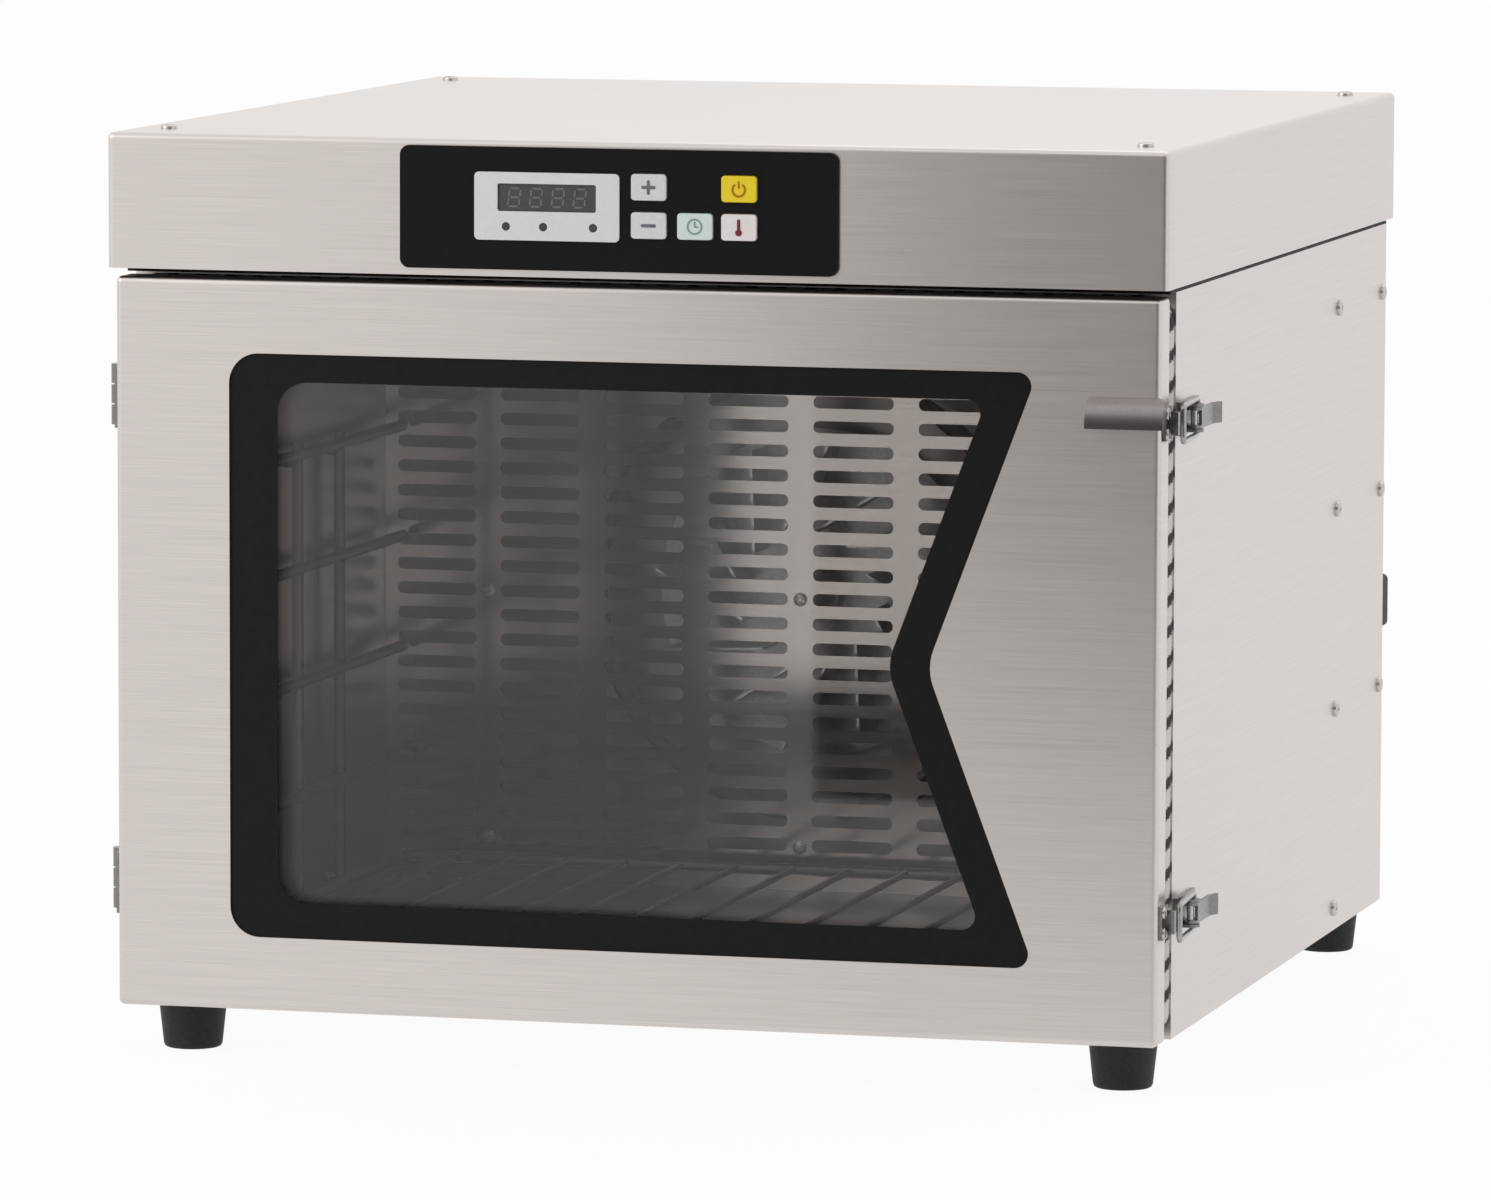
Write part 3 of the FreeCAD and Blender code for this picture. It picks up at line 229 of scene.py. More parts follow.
def dress(material, *names):
    """Gives CAD nodes one finish in every material slot."""
    for name in names:
        slots = frame["nodes"][name].data.materials
        if not slots:
            slots.append(material)
        for i in range(len(slots)):
            slots[i] = material


stainless = brushed("stainless", steel_tone, 0.33, 0.09, 0.08, 0.6)
dress(stainless, "top_cover", "left_side_panel", "right_side_panel", "rear_panel", "base_pan",
      "front_frame")

# Casing screws: plated pan heads with a cross slot, one at each corner of the hood, a row down each side
# panel and one in each rear spacer; each stands turned by its own angle, as a driver leaves it.


def mottled(name, tone, low_tone, scale, gloss, relief, metal=0.0, shine=0.5):
    """A moulded, cast or plated finish: two tones mixed by fine noise that also sets gloss and relief."""
    material, tree, surface = finish_of(name)
    link = tree.links.new
    place = node(tree, "TexCoord")
    speck = node(tree, "TexNoise", Scale=scale, Detail=5.0, Roughness=0.6)
    link(place.outputs["Object"], speck.inputs["Vector"])
    share = node(tree, "MapRange", From_Min=0.3, From_Max=0.7)
    link(speck.outputs["Fac"], share.inputs["Value"])
    mixed = node(tree, "Mix", data_type="RGBA")
    mixed.inputs[6].default_value = (*low_tone, 1.0)
    mixed.inputs[7].default_value = (*tone, 1.0)
    link(share.outputs["Result"], mixed.inputs["Factor"])
    link(mixed.outputs[2], surface.inputs["Base Color"])
    polish = node(tree, "MapRange", From_Min=0.3, From_Max=0.7, To_Min=gloss + 0.06, To_Max=gloss - 0.06)
    link(speck.outputs["Fac"], polish.inputs["Value"])
    link(polish.outputs["Result"], surface.inputs["Roughness"])
    bump = node(tree, "Bump", Strength=relief, Distance=0.0004)
    link(speck.outputs["Fac"], bump.inputs["Height"])
    link(bump.outputs["Normal"], surface.inputs["Normal"])
    surface.inputs["Metallic"].default_value = metal
    surface.inputs["Specular IOR Level"].default_value = shine
    return material


def shell(name, grids, material, body, marks=None):
    """A mesh from grids of points: neighbours in both directions join as four-sided faces, equal points at
    seams and poles are merged, and a grid that encloses a negative volume is turned. Marks are one number
    per point, kept as the attribute that the finish reads. The piece then rides on its body."""
    faces, start = [], 0
    for grid in grids:
        rows, columns = grid.shape[:2]
        index = np.arange(rows * columns).reshape(rows, columns)
        quads = np.stack([index[:-1, :-1], index[1:, :-1], index[1:, 1:], index[:-1, 1:]], -1).reshape(-1, 4)
        points = grid.reshape(-1, 3) - grid.reshape(-1, 3).mean(0)
        a, b, c, d = (points[quads[:, i]] for i in range(4))
        volume = np.sum(a * np.cross(b, c)) + np.sum(a * np.cross(c, d))
        faces.append(start + (quads if volume > 0 else quads[:, ::-1]))
        start += rows * columns
    mesh = bpy.data.meshes.new(name)
    mesh.from_pydata(np.concatenate([grid.reshape(-1, 3) for grid in grids]).tolist(), [],
                     np.concatenate(faces).tolist())
    if marks is not None:
        values = marks.ravel().astype(np.float32)
        mesh.attributes.new("mark", "FLOAT", "POINT").data.foreach_set("value", values)
    merged = bmesh.new()
    merged.from_mesh(mesh)
    bmesh.ops.remove_doubles(merged, verts=merged.verts, dist=1e-6)
    merged.to_mesh(mesh)
    merged.free()
    mesh.polygons.foreach_set("use_smooth", np.ones(len(mesh.polygons), bool))
    mesh.set_sharp_from_angle(angle=math.radians(40.0))
    mesh.materials.append(material)
    piece = bpy.data.objects.new(name, mesh)
    scene.collection.objects.link(piece)
    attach(piece, body)
    return piece


def pan_heads(places, outward, radius, height):
    """Pan heads on a face that looks outward. Over rings of radius r and angle t the height is a shallow
    parabola that rolls over a quarter circle at the rim, less a cross slot where either arm covers the
    point. Each head stands turned on from the one before."""
    turn_between = 1.7
    s = np.linspace(0.0, 1.0, 20)[:, None]
    crown = np.clip(s / 0.8, 0.0, 1.0)
    roll = np.clip((s - 0.8) / 0.2, 0.0, 1.0) * np.pi / 2
    ring = radius * (0.9 * crown + 0.1 * np.sin(roll))
    lift = height * (1.0 - 0.25 * crown**2) * np.cos(roll)
    angle = np.linspace(0.0, 2 * np.pi, 49)
    a, b = np.abs(ring * np.cos(angle)), np.abs(ring * np.sin(angle))
    wide, long, ease = 0.15 * radius, 0.58 * radius, 0.06 * radius

    def arm(across, along):
        return np.clip((wide - across) / ease, 0.0, 1.0) * np.clip((long - along) / ease, 0.0, 1.0)

    up = lift - 0.55 * height * np.maximum(arm(a, b), arm(b, a))
    up = np.vstack([up, np.zeros_like(angle)])
    ring = np.vstack([ring, [[0.0]]])
    out = np.asarray(outward, float)
    side = np.cross(out, (0.0, 0.0, 1.0) if abs(out[2]) < 0.5 else (0.0, 1.0, 0.0))
    over = np.cross(out, side)
    heads = []
    for i, place in enumerate(places):
        turn = angle + turn_between * i
        heads.append(np.asarray(place) + (ring * np.cos(turn))[..., None] * side
                     + (ring * np.sin(turn))[..., None] * over + up[..., None] * out)
    return heads


screw_steel = mottled("screw_steel", (0.60, 0.58, 0.56), (0.48, 0.46, 0.45), 1500.0, 0.28, 0.08, metal=1.0)
hood_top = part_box("top_cover")[1].z
side_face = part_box("right_side_panel")[1].x
screw_head = (0.0036, 0.0020)
hood_spots = [(x, y, hood_top) for x in (-0.213, 0.213) for y in (-0.208, 0.208)]
panel_spots = [(0.1286, 0.0322)] + [(y, z) for y in (0.1286, 0.2283) for z in (0.1228, 0.2134, 0.3040)]
spacer_low, spacer_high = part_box("rear_spacers")
spacer_half, spacer_sink = 0.008, 0.006
spacer_level = (spacer_low.z + spacer_high.z) / 2
spacer_spots = [(x, spacer_high.y - spacer_sink, spacer_level)
                for x in (spacer_low.x + spacer_half, spacer_high.x - spacer_half)]
heads = pan_heads(hood_spots, (0, 0, 1), *screw_head)
for side in (-1, 1):
    heads += pan_heads([(side * side_face, y, z) for y, z in panel_spots], (side, 0, 0), *screw_head)
heads += pan_heads(spacer_spots, (0, 1, 0), *screw_head)
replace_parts(shell("casing_screw_heads", heads, screw_steel, "casing"), "case_screws")

# Header deck: the plate under the hood, cut from sheet and painted matt black; its near-black tone also
# stands in for painted shade in the gap, and its edge shows as the dark line between the hood and the body.
# Painted shade: the deck's near-black tone makes the gap under the hood read dark.
deck_black = mottled("deck_black", (0.020, 0.019, 0.019), (0.013, 0.012, 0.012), 600.0, 0.6, 0.1, shine=0.2)
dress(deck_black, "header_deck")

# Feet: tapered black rubber, turned with a rolled upper edge and a hollow underneath for the fixing screw,
# one near each corner of the base pan.


def turned(profile, centre, steps=64):
    """Profile of (radius, height) pairs carried once round an upright axis through the centre."""
    angle = np.linspace(0.0, 2 * np.pi, steps + 1)
    radius, height = (np.asarray(profile)[:, i, None] for i in (0, 1))
    level = np.broadcast_to(height, (len(height), steps + 1))
    return np.stack([centre[0] + radius * np.cos(angle), centre[1] + radius * np.sin(angle), level], -1)


foot_rubber = mottled("foot_rubber", (0.022, 0.022, 0.023), (0.012, 0.012, 0.013), 900.0, 0.6, 0.35,
                      shine=0.35)
foot_low, foot_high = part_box("feet")
foot_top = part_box("base_pan")[0].z
foot_radius = 0.015
foot_profile = [(0.0, foot_top), (0.0142, foot_top), (0.0147, foot_top - 0.0002), (0.0150, foot_top - 0.0007),
                (0.0150, foot_top - 0.0022), (0.0147, foot_top - 0.0028), (0.0145, foot_top - 0.0034),
                (0.0128, 0.0030), (0.0126, 0.0014), (0.0121, 0.0004), (0.0113, 0.0), (0.0082, 0.0),
                (0.0076, 0.0005), (0.0074, 0.0070), (0.0, 0.0070)]
foot_grids = [turned(foot_profile, (x, y)) for x in (foot_low.x + foot_radius, foot_high.x - foot_radius)
              for y in (foot_low.y + foot_radius, foot_high.y - foot_radius)]
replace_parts(shell("rubber_feet", foot_grids, foot_rubber, "casing"), "feet")

# Mains inlet: black moulded plastic with a fine spark texture; rear spacers: the feet's black rubber; both
# screwed to the rear panel.
inlet_black = mottled("inlet_black", (0.030, 0.030, 0.032), (0.018, 0.018, 0.020), 1100.0, 0.42, 0.25)
dress(inlet_black, "mains_inlet")
dress(foot_rubber, "rear_spacers")

# Chamber: liner and bulkhead are folded boxes of duller steel; the air panel in front of the fan is punched
# with rows of slots and kept smooth, so it mirrors the window; small screws hold it to the liner.
chamber_steel = brushed("chamber_steel", (0.36, 0.335, 0.325), 0.34, 0.05, 0.06, 0.5)
air_steel = brushed("air_steel", (0.475, 0.44, 0.42), 0.14, 0.03, 0.05, 0.2)


def leaned(material, lean):
    """Leans a finish's shading by a small vector, as a sheet that isn't quite flat throws its reflections."""
    tree = material.node_tree
    surface = tree.nodes["Principled BSDF"]
    straight = surface.inputs["Normal"].links[0].from_socket
    tipped = node(tree, "VectorMath", operation="ADD")
    tipped.inputs[1].default_value = lean
    unit = node(tree, "VectorMath", operation="NORMALIZE")
    tree.links.new(straight, tipped.inputs[0])
    tree.links.new(tipped.outputs[0], unit.inputs[0])
    tree.links.new(unit.outputs[0], surface.inputs["Normal"])


leaned(air_steel, (-0.075, 0.0, -0.055))
dress(chamber_steel, "chamber_liner", "bulkhead")
dress(air_steel, "air_panel")
air_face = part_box("air_panel")[0].y
air_spots = [(x, air_face, z) for x in (-0.1455, 0.0, 0.1455) for z in (0.062, 0.174, 0.292)]
air_head = (0.0030, 0.0016)
air_heads = pan_heads(air_spots, (0, -1, 0), *air_head)
shell("air_panel_screw_heads", air_heads, screw_steel, "casing")

# Wall filling: pale mineral wool boards between the casing and the chamber and inside the door.
wool = mottled("wool", (0.74, 0.70, 0.58), (0.56, 0.51, 0.40), 260.0, 0.92, 0.7, shine=0.1)
dress(wool, "insulation_boards", "door_insulation")

# Rails, rack and sensor: drawn rod, welded and dulled by heat; the heater ring is a dark sheathed tube round
# the fan.
rack_steel = mottled("rack_steel", (0.17, 0.162, 0.156), (0.13, 0.123, 0.118), 900.0, 0.46, 0.05, metal=1.0)
dress(rack_steel, "left_rack_rail", "right_rack_rail", "wire_rack", "thermocouple")
heater_sheath = mottled("heater_sheath", (0.16, 0.13, 0.12), (0.09, 0.08, 0.08), 700.0, 0.52, 0.2, metal=0.6)
dress(heater_sheath, "heater_ring")

# Fan: pressed alloy impeller on a steel shaft, driven by a black motor behind the bulkhead.
fan_alloy = mottled("fan_alloy", (0.56, 0.56, 0.56), (0.44, 0.44, 0.44), 500.0, 0.36, 0.1, metal=1.0)
dress(fan_alloy, "fan_impeller", "fan_shaft")
motor_black = mottled("motor_black", (0.035, 0.035, 0.037), (0.020, 0.020, 0.022), 800.0, 0.5, 0.3)
dress(motor_black, "fan_motor")

# Circuit boards in the header: green laminate with dull solder resist.
circuit_green = mottled("circuit_green", (0.020, 0.16, 0.07), (0.010, 0.10, 0.04), 400.0, 0.4, 0.1)
dress(circuit_green, "control_board", "power_board")

# Door: a folded stainless pan with a notched window, closed behind by a plate, with a spacer frame that
# keeps the two panes apart.
dress(stainless, "door_skin")
dress(chamber_steel, "door_back_panel", "glazing_frame")

# Window: a flat black band printed round the outer pane, and two clear panes that let lamp light through.
band_black = mottled("band_black", (0.0125, 0.0125, 0.0122), (0.0095, 0.0095, 0.0095), 300.0, 0.4, 0.03,
                     shine=0.12)
dress(band_black, "glass_band")
clear_glass, tree, pane = finish_of("clear_glass")
pane.inputs["Base Color"].default_value = (0.93, 0.925, 0.92, 1.0)
pane.inputs["Roughness"].default_value = 0.0
pane.inputs["IOR"].default_value = 1.3
pane.inputs["Transmission Weight"].default_value = 1.0
path = node(tree, "LightPath")
lamp_way = node(tree, "BsdfTransparent", Color=(0.88, 0.88, 0.875, 1.0))
pane_mix = node(tree, "MixShader")
tree.links.new(path.outputs["Is Shadow Ray"], pane_mix.inputs["Fac"])
tree.links.new(pane.outputs[0], pane_mix.inputs[1])
tree.links.new(lamp_way.outputs[0], pane_mix.inputs[2])
tree.links.new(pane_mix.outputs[0], tree.nodes["Material Output"].inputs["Surface"])
dress(clear_glass, "outer_glass", "inner_glass")

# Door gasket: round glass-fibre rope, braided pale with one dark tracer strand, pressed between the door's
# back plate and the front frame all the way round.
rope_low, rope_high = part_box("door_gasket")
rope_lay = 0.0127
rope_strands = 5
tracer_share = 0.42
rope_swell = 0.0006
rope_samples = 2000
rope_corner = 0.009
rope_bulge = 0.0003
rope_half_wide = 0.0055


def rounded_ring(x0, x1, z0, z1, corner, samples):
    """Points, outward angles and lengths along a rounded rectangle: a quarter circle at each corner, joined
    by straight runs and sampled again at equal lengths."""
    quarter = np.linspace(0.0, np.pi / 2, 25)
    angle = np.concatenate([quarter + i * np.pi / 2 for i in range(4)] + [[2 * np.pi]])
    centre_x = np.repeat([x1 - corner, x0 + corner, x0 + corner, x1 - corner], 25)
    centre_z = np.repeat([z1 - corner, z1 - corner, z0 + corner, z0 + corner], 25)
    x = np.append(centre_x, x1 - corner) + corner * np.cos(angle)
    z = np.append(centre_z, z1 - corner) + corner * np.sin(angle)
    length = np.concatenate([[0.0], np.cumsum(np.hypot(np.diff(x), np.diff(z)))])
    even = np.linspace(0.0, length[-1], samples + 1)
    return [np.interp(even, length, v) for v in (x, z, angle)] + [even]


def braided_rope(low, high, corner):
    """A rope round a rounded rectangle. Its section is a flattened round; two sets of strands wind round it
    in opposite senses, each a ridge |cos|, and take turns on top by the sign of their product. The mark is
    one on the tracer, a single strand of the first set."""
    half_deep = (high.y - low.y) / 2
    inset = rope_half_wide - rope_bulge
    x, z, lean, run = rounded_ring(low.x + inset, high.x - inset, low.z + inset, high.z - inset,
                                   corner - rope_half_wide / 2, rope_samples)
    lays = round(run[-1] / rope_lay)
    along = (run / run[-1] * lays)[:, None]
    turn = np.linspace(0.0, 1.0, 41)[None, :]
    first = np.cos(np.pi * rope_strands * (turn - along))
    second = np.cos(np.pi * rope_strands * (turn + along))
    on_top = 0.5 + 0.5 * first * second
    ridge = np.maximum(np.abs(first)**0.6 * (0.5 + 0.5 * on_top), np.abs(second)**0.6 * (1.0 - 0.5 * on_top))
    section = 2 * np.pi * turn
    swell = rope_swell * (1.0 - ridge)
    out = (rope_half_wide - swell) * np.sign(np.cos(section)) * np.abs(np.cos(section))**0.5
    deep = (half_deep - swell) * np.sign(np.sin(section)) * np.abs(np.sin(section))**0.5
    points = np.stack([x[:, None] + out * np.cos(lean)[:, None],
                       (low.y + high.y) / 2 + deep,
                       z[:, None] + out * np.sin(lean)[:, None]], -1)
    stray = np.abs((turn - along + 0.5) % 1.0 - 0.5)
    tracer = np.clip((tracer_share / 2 - stray) * 40.0, 0.0, 1.0)
    return points, tracer


rope_fibre, tree, surface = finish_of("rope_fibre")
link = tree.links.new
place = node(tree, "TexCoord")
fibre = node(tree, "TexNoise", Scale=1400.0, Detail=4.0, Roughness=0.7)
link(place.outputs["Object"], fibre.inputs["Vector"])
pale = node(tree, "Mix", data_type="RGBA")
pale.inputs[6].default_value = (0.68, 0.65, 0.62, 1.0)
pale.inputs[7].default_value = (0.90, 0.87, 0.84, 1.0)
link(fibre.outputs["Fac"], pale.inputs["Factor"])
tracer_mark = node(tree, "Attribute", attribute_name="mark")
tint = node(tree, "Mix", data_type="RGBA")
tint.inputs[7].default_value = (0.060, 0.056, 0.054, 1.0)
link(tracer_mark.outputs["Fac"], tint.inputs["Factor"])
link(pale.outputs[2], tint.inputs[6])
link(tint.outputs[2], surface.inputs["Base Color"])
bump = node(tree, "Bump", Strength=0.5, Distance=0.0003)
link(fibre.outputs["Fac"], bump.inputs["Height"])
link(bump.outputs["Normal"], surface.inputs["Normal"])
surface.inputs["Roughness"].default_value = 0.9
surface.inputs["Specular IOR Level"].default_value = 0.15
rope_points, rope_marks = braided_rope(rope_low, rope_high, rope_corner)
rope_body = frame["nodes"]["door_gasket"]["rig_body"]
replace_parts(shell("rope_gasket", [rope_points], rope_fibre, rope_body, rope_marks), "door_gasket")

# Pull: a short hood pressed from thin sheet, hollow below for the finger tips; its tone is painted darker
# from the door's own tone at the top to a dark lower edge, as painted shade under the hood's curve.


def painted_shade_below(material, low, high, low_share):
    """Scales a finish's tone by height as painted shade: the given share at the low level, rising to one at
    the high level.
    """
    tree = material.node_tree
    link = tree.links.new
    surface = tree.nodes["Principled BSDF"]
    clean = surface.inputs["Base Color"].links[0].from_socket
    place = node(tree, "TexCoord")
    height = node(tree, "SeparateXYZ")
    link(place.outputs["Object"], height.inputs[0])
    share = node(tree, "MapRange", From_Min=low, From_Max=high, To_Min=low_share)
    link(height.outputs["Z"], share.inputs["Value"])
    shaded_tone = node(tree, "VectorMath", operation="SCALE")
    link(clean, shaded_tone.inputs[0])
    link(share.outputs["Result"], shaded_tone.inputs["Scale"])
    link(shaded_tone.outputs[0], surface.inputs["Base Color"])


pull_steel = mottled("pull_steel", (0.46, 0.425, 0.415), (0.40, 0.37, 0.36), 700.0, 0.36, 0.06, metal=1.0)
pull_low, pull_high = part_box("door_pull")
pull_painted_shade = 0.16
# Painted shade: the pull's tone darkens from its top to a dark lower edge.
painted_shade_below(pull_steel, pull_low.z, pull_high.z, pull_painted_shade)
dress(pull_steel, "door_pull")

# Hinges and latches: stamped leaves, levers, bases and keepers in plated steel, on turned pins and small
# cross-slot screws; each latch loop is one bent wire whose ends turn into the lever cheeks.
plated_steel = mottled("plated_steel", (0.27, 0.26, 0.25), (0.20, 0.19, 0.185), 700.0, 0.30, 0.06, metal=1.0)
wire_steel = mottled("wire_steel", (0.42, 0.405, 0.395), (0.33, 0.32, 0.31), 900.0, 0.24, 0.05, metal=1.0)
small_head = (0.0025, 0.0013)
leaf = 0.0015


def bent_wire(corners, bend, radius, steps=9):
    """A round wire through corner points in one plane. Each inner corner is a quadratic curve between points
    one bend length before and after it; the section is a circle in the frame of the run and the plane's
    normal, and shrinks to a point at both ends."""
    corners = np.asarray(corners, float)
    line = [corners[:1]]
    t = np.linspace(0.0, 1.0, steps)[:, None]
    for before, corner, after in zip(corners[:-2], corners[1:-1], corners[2:]):
        enter = corner + bend * (before - corner) / np.linalg.norm(before - corner)
        leave = corner + bend * (after - corner) / np.linalg.norm(after - corner)
        line.append((1 - t)**2 * enter + 2 * t * (1 - t) * corner + t**2 * leave)
    line = np.concatenate(line + [corners[-1:]])
    run = np.gradient(line, axis=0)
    run /= np.linalg.norm(run, axis=1)[:, None]
    normal = np.cross(corners[1] - corners[0], corners[2] - corners[1])
    normal /= np.linalg.norm(normal)
    across = np.cross(run, normal)
    line = np.concatenate([line[:1], line, line[-1:]])
    across = np.concatenate([across[:1], across, across[-1:]])
    size = np.full(len(line), radius)
    size[[0, -1]] = 0.0
    angle = np.linspace(0.0, 2 * np.pi, 25)
    ring = np.cos(angle)[None, :, None] * across[:, None] + np.sin(angle)[None, :, None] * normal
    return line[:, None] + size[:, None, None] * ring


pin_low, pin_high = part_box("latch_pins")
latch_x, latch_y = (pin_low.x + pin_high.x) / 2, (pin_low.y + pin_high.y) / 2
loop_step = 0.0065
loop_y = latch_y + loop_step
loop_wire, loop_inner, loop_bend = 0.00125, 0.0029, 0.0026
leaf_half, leaf_margin = 0.0065, 0.0055
plate_margin = 0.0027
base_screw_insets = (0.010, 0.0025)
casing_heads, door_heads = [], []
for level in ("upper", "lower"):
    dress(plated_steel, *[f"{level}_{name}" for name in ("hinge_body_leaf", "hinge_door_leaf", "latch_base",
                                                         "latch_lever", "latch_keeper")])
    loop_low, loop_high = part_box(f"{level}_latch_loop")
    hook_x, hook_y = loop_high.x - loop_wire, loop_low.y + loop_wire
    z, loop_half = (loop_low.z + loop_high.z) / 2, (loop_high.z - loop_low.z) / 2 - loop_wire
    bail = bent_wire([(latch_x, loop_y, z - loop_inner), (latch_x, loop_y, z - loop_half),
                      (hook_x, hook_y, z - loop_half), (hook_x, hook_y, z + loop_half),
                      (latch_x, loop_y, z + loop_half), (latch_x, loop_y, z + loop_inner)],
                     loop_bend, loop_wire)
    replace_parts(shell(f"{level}_wire_loop", [bail], wire_steel, f"{level}_loop"),
                f"{level}_latch_loop")
    leaf_low, leaf_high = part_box(f"{level}_hinge_body_leaf")
    rise = (leaf_high.z - leaf_low.z) / 2 - leaf_margin
    casing_heads += pan_heads([(-side_face - leaf, leaf_high.y - leaf_half, z + d) for d in (-rise, rise)],
                              (-1, 0, 0), *small_head)
    door_leaf_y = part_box(f"{level}_hinge_door_leaf")[0].y + leaf_half
    door_heads += pan_heads([(-side_face - leaf, door_leaf_y, z + d) for d in (-rise, rise)], (-1, 0, 0),
                            *small_head)
    base_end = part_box(f"{level}_latch_base")[1].y
    casing_heads += pan_heads([(side_face + leaf, base_end - d, z) for d in base_screw_insets], (1, 0, 0),
                              *small_head)
    keeper_low, keeper_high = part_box(f"{level}_latch_keeper")
    rise = (keeper_high.z - keeper_low.z) / 2 - plate_margin
    door_heads += pan_heads([(side_face + leaf, keeper_low.y + small_head[0], z + d) for d in (-rise, rise)],
                            (1, 0, 0), *small_head)
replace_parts(shell("casing_hardware_heads", casing_heads, screw_steel, "casing"),
            "body_hardware_screws")
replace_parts(shell("door_hardware_heads", door_heads, screw_steel, "door"),
            "door_hardware_screws")
dress(screw_steel, "hinge_pins", "latch_pins")

# Control fascia: a matt black panel with a faint spark texture, on the front of the hood.
fascia_black = mottled("fascia_black", (0.0105, 0.0105, 0.0108), (0.0080, 0.0080, 0.0082), 900.0, 0.45, 0.12,
                       shine=0.10)
dress(fascia_black, "control_fascia")

# Display: a pale moulded bezel, three dark lamps and a smoked digit block with four unlit figures.
bezel_pale = mottled("bezel_pale", (0.85, 0.85, 0.845), (0.80, 0.80, 0.79), 700.0, 0.45, 0.06, shine=0.3)
display_smoke = mottled("display_smoke", (0.085, 0.083, 0.080), (0.070, 0.068, 0.066), 400.0, 0.2, 0.02,
                        shine=0.3)
figure_grey = mottled("figure_grey", (0.20, 0.195, 0.19), (0.17, 0.165, 0.16), 400.0, 0.35, 0.02, shine=0.3)
lamp_dark = mottled("lamp_dark", (0.050, 0.050, 0.052), (0.035, 0.035, 0.036), 500.0, 0.2, 0.02)
dress(bezel_pale, "display_bezel")
dress(display_smoke, "display_module")
dress(lamp_dark, "indicator_lamps")


def raised(outline, front, back):
    """A thin raised print from a closed outline in X and Z: the outline shrunk to its middle on the front,
    out to its edge, down to the back and shrunk to its middle again."""
    outline = np.asarray(outline, float)
    outline = np.concatenate([outline, outline[:1]])
    middle = outline[:-1].mean(0)
    rows = [(0.0, front), (0.97, front), (1.0, front + 0.2 * (back - front)), (1.0, back), (0.0, back)]
    grid = np.empty((len(rows), len(outline), 3))
    for row, (share, y) in zip(grid, rows):
        row[:, [0, 2]] = middle + share * (outline - middle)
        row[:, 1] = y
    return grid


def bar(x, z, length, thick, turn=0.0):
    """Outline of a bar with round ends, turned about its middle."""
    angle = np.linspace(-np.pi / 2, np.pi / 2, 9)
    end = np.stack([(length - thick) / 2 + thick / 2 * np.cos(angle), thick / 2 * np.sin(angle)], -1)
    flat = np.concatenate([end, -end])
    c, s = np.cos(turn), np.sin(turn)
    return np.stack([x + c * flat[:, 0] - s * flat[:, 1], z + s * flat[:, 0] + c * flat[:, 1]], -1)


display_low, display_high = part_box("display_module")
figure_front, figure_back = display_low.y - 0.0002, display_low.y + 0.0003
figure_wide, figure_tall, figure_lean = 0.0048, 0.0076, 0.12
figure_pitch = 0.0095
stroke = 0.00085
display_x, display_z = (display_low.x + display_high.x) / 2, (display_low.z + display_high.z) / 2
figures = []
for place in (-1.5, -0.5, 0.5, 1.5):
    for across, up, upright in ((0, 1, 0), (0, 0, 0), (0, -1, 0), (-1, 0.5, 1), (1, 0.5, 1), (-1, -0.5, 1),
                                (1, -0.5, 1)):
        z = up * figure_tall / 2
        x = place * figure_pitch + across * figure_wide / 2 + figure_lean * z
        turn = np.pi / 2 - figure_lean if upright else 0.0
        long = (figure_tall / 2 if upright else figure_wide) - 1.1 * stroke
        outline = bar(display_x + x, display_z + z, long, stroke, turn)
        figures.append(raised(outline, figure_front, figure_back))
shell("display_figures", figures, figure_grey, "casing")

# Keys: five small rounded caps in moulded plastic, each with its sign printed a little proud of the face.
key_white = mottled("key_white", (0.83, 0.83, 0.84), (0.77, 0.77, 0.78), 500.0, 0.42, 0.06, shine=0.3)
key_mint = mottled("key_mint", (0.81, 0.91, 0.88), (0.75, 0.85, 0.82), 500.0, 0.42, 0.06, shine=0.3)
key_blush = mottled("key_blush", (0.97, 0.91, 0.90), (0.91, 0.85, 0.84), 500.0, 0.42, 0.06, shine=0.3)
key_amber = mottled("key_amber", (1.0, 0.78, 0.036), (1.0, 0.72, 0.030), 500.0, 0.42, 0.06, shine=0.3)
sign_grey = mottled("sign_grey", (0.20, 0.21, 0.24), (0.16, 0.17, 0.19), 500.0, 0.5, 0.05, shine=0.2)
sign_green = mottled("sign_green", (0.27, 0.42, 0.34), (0.22, 0.36, 0.29), 500.0, 0.5, 0.05, shine=0.2)
sign_red = mottled("sign_red", (0.24, 0.050, 0.055), (0.19, 0.035, 0.040), 500.0, 0.5, 0.05, shine=0.2)
sign_brown = mottled("sign_brown", (0.50, 0.24, 0.008), (0.44, 0.20, 0.006), 500.0, 0.5, 0.05, shine=0.2)


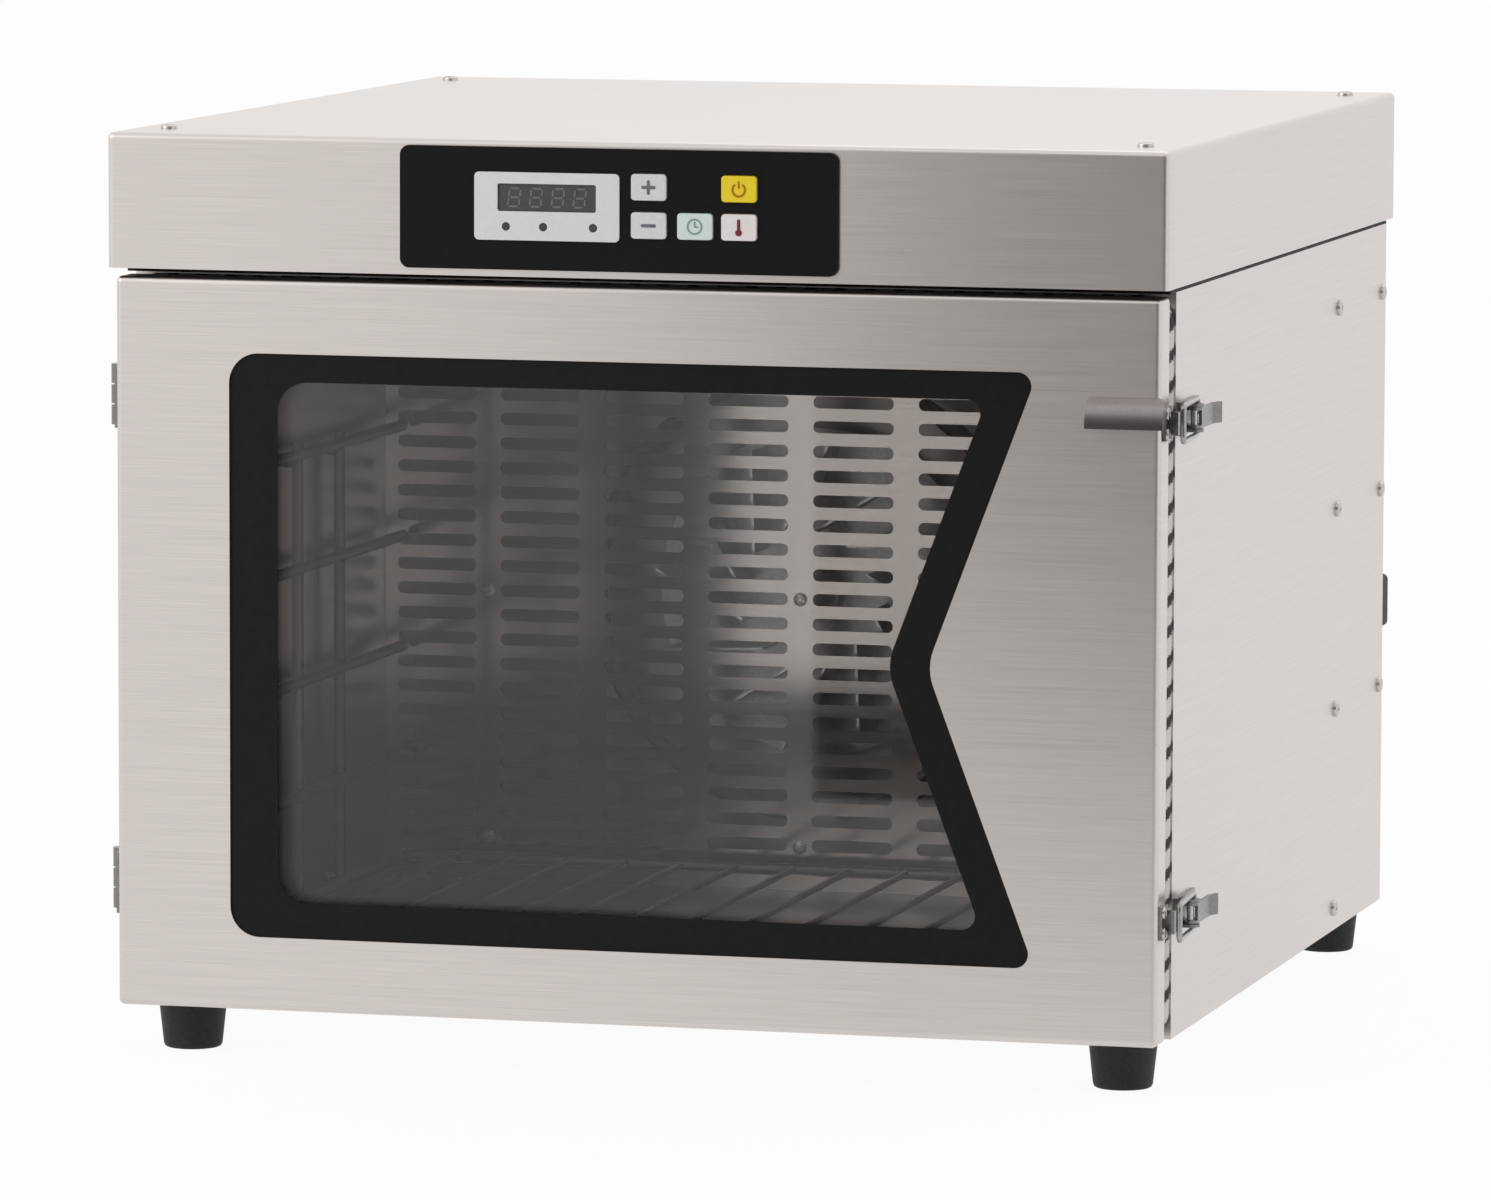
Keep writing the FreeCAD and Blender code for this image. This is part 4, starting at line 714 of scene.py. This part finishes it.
def arc_band(x, z, radius, thick, start, stop, front, back):
    """A flat band bent round a centre: a rectangular section carried along an arc, closed at both ends."""
    angle = np.linspace(start, stop, 41)
    corners = np.array([(-0.5, 0), (0.5, 0), (0.5, 1), (-0.5, 1), (-0.5, 0)])
    reach = np.broadcast_to(radius + thick * corners[:, 0], (len(angle), len(corners)))
    grid = np.stack([x + reach * np.cos(angle)[:, None],
                     np.broadcast_to(front + (back - front) * corners[:, 1], reach.shape),
                     z + reach * np.sin(angle)[:, None]], -1)
    caps = grid[[0, -1]].mean(1, keepdims=True)
    return np.concatenate([np.broadcast_to(caps[:1], grid[:1].shape), grid,
                           np.broadcast_to(caps[1:], grid[:1].shape)])


sign_proud, sign_sink, sign_step = 0.00015, 0.0002, 0.00005


def key_signs(key, x, z, front, back):
    """The sign of each key, about its middle: plus, minus, a clock face, a thermometer, a standby ring."""
    if key == "minus_key":
        return [raised(bar(x, z, 0.0066, 0.0014), front, back)]
    if key == "plus_key":
        return [raised(bar(x, z, 0.0062, 0.0014), front, back),
                raised(bar(x, z, 0.0062, 0.0014, np.pi / 2), front + sign_step, back)]
    if key == "timer_key":
        return [arc_band(x, z, 0.0030, 0.0007, 0.0, 2 * np.pi, front, back),
                raised(bar(x, z + 0.0010, 0.0024, 0.0007, np.pi / 2), front, back),
                raised(bar(x + 0.0007, z - 0.0001, 0.0018, 0.0007), front + sign_step, back)]
    if key == "heat_key":
        return [raised(bar(x, z + 0.0008, 0.0054, 0.0014, np.pi / 2), front, back),
                raised(bar(x, z - 0.0022, 0.0030, 0.0028), front + sign_step, back)]
    return [arc_band(x, z - 0.0003, 0.0027, 0.0009, 2.2, 2 * np.pi + 0.94, front, back),
            raised(bar(x, z + 0.0018, 0.0032, 0.0009, np.pi / 2), front, back)]


key_finishes = {"plus_key": (key_white, sign_grey), "minus_key": (key_white, sign_grey),
                "timer_key": (key_mint, sign_green), "heat_key": (key_blush, sign_red),
                "start_key": (key_amber, sign_brown)}
for key, (cap, sign) in key_finishes.items():
    dress(cap, key)
    low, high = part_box(key)
    signs = key_signs(key, (low.x + high.x) / 2, (low.z + high.z) / 2, low.y - sign_proud, low.y + sign_sink)
    shell(key.replace("_key", "_sign"), signs, sign, key)
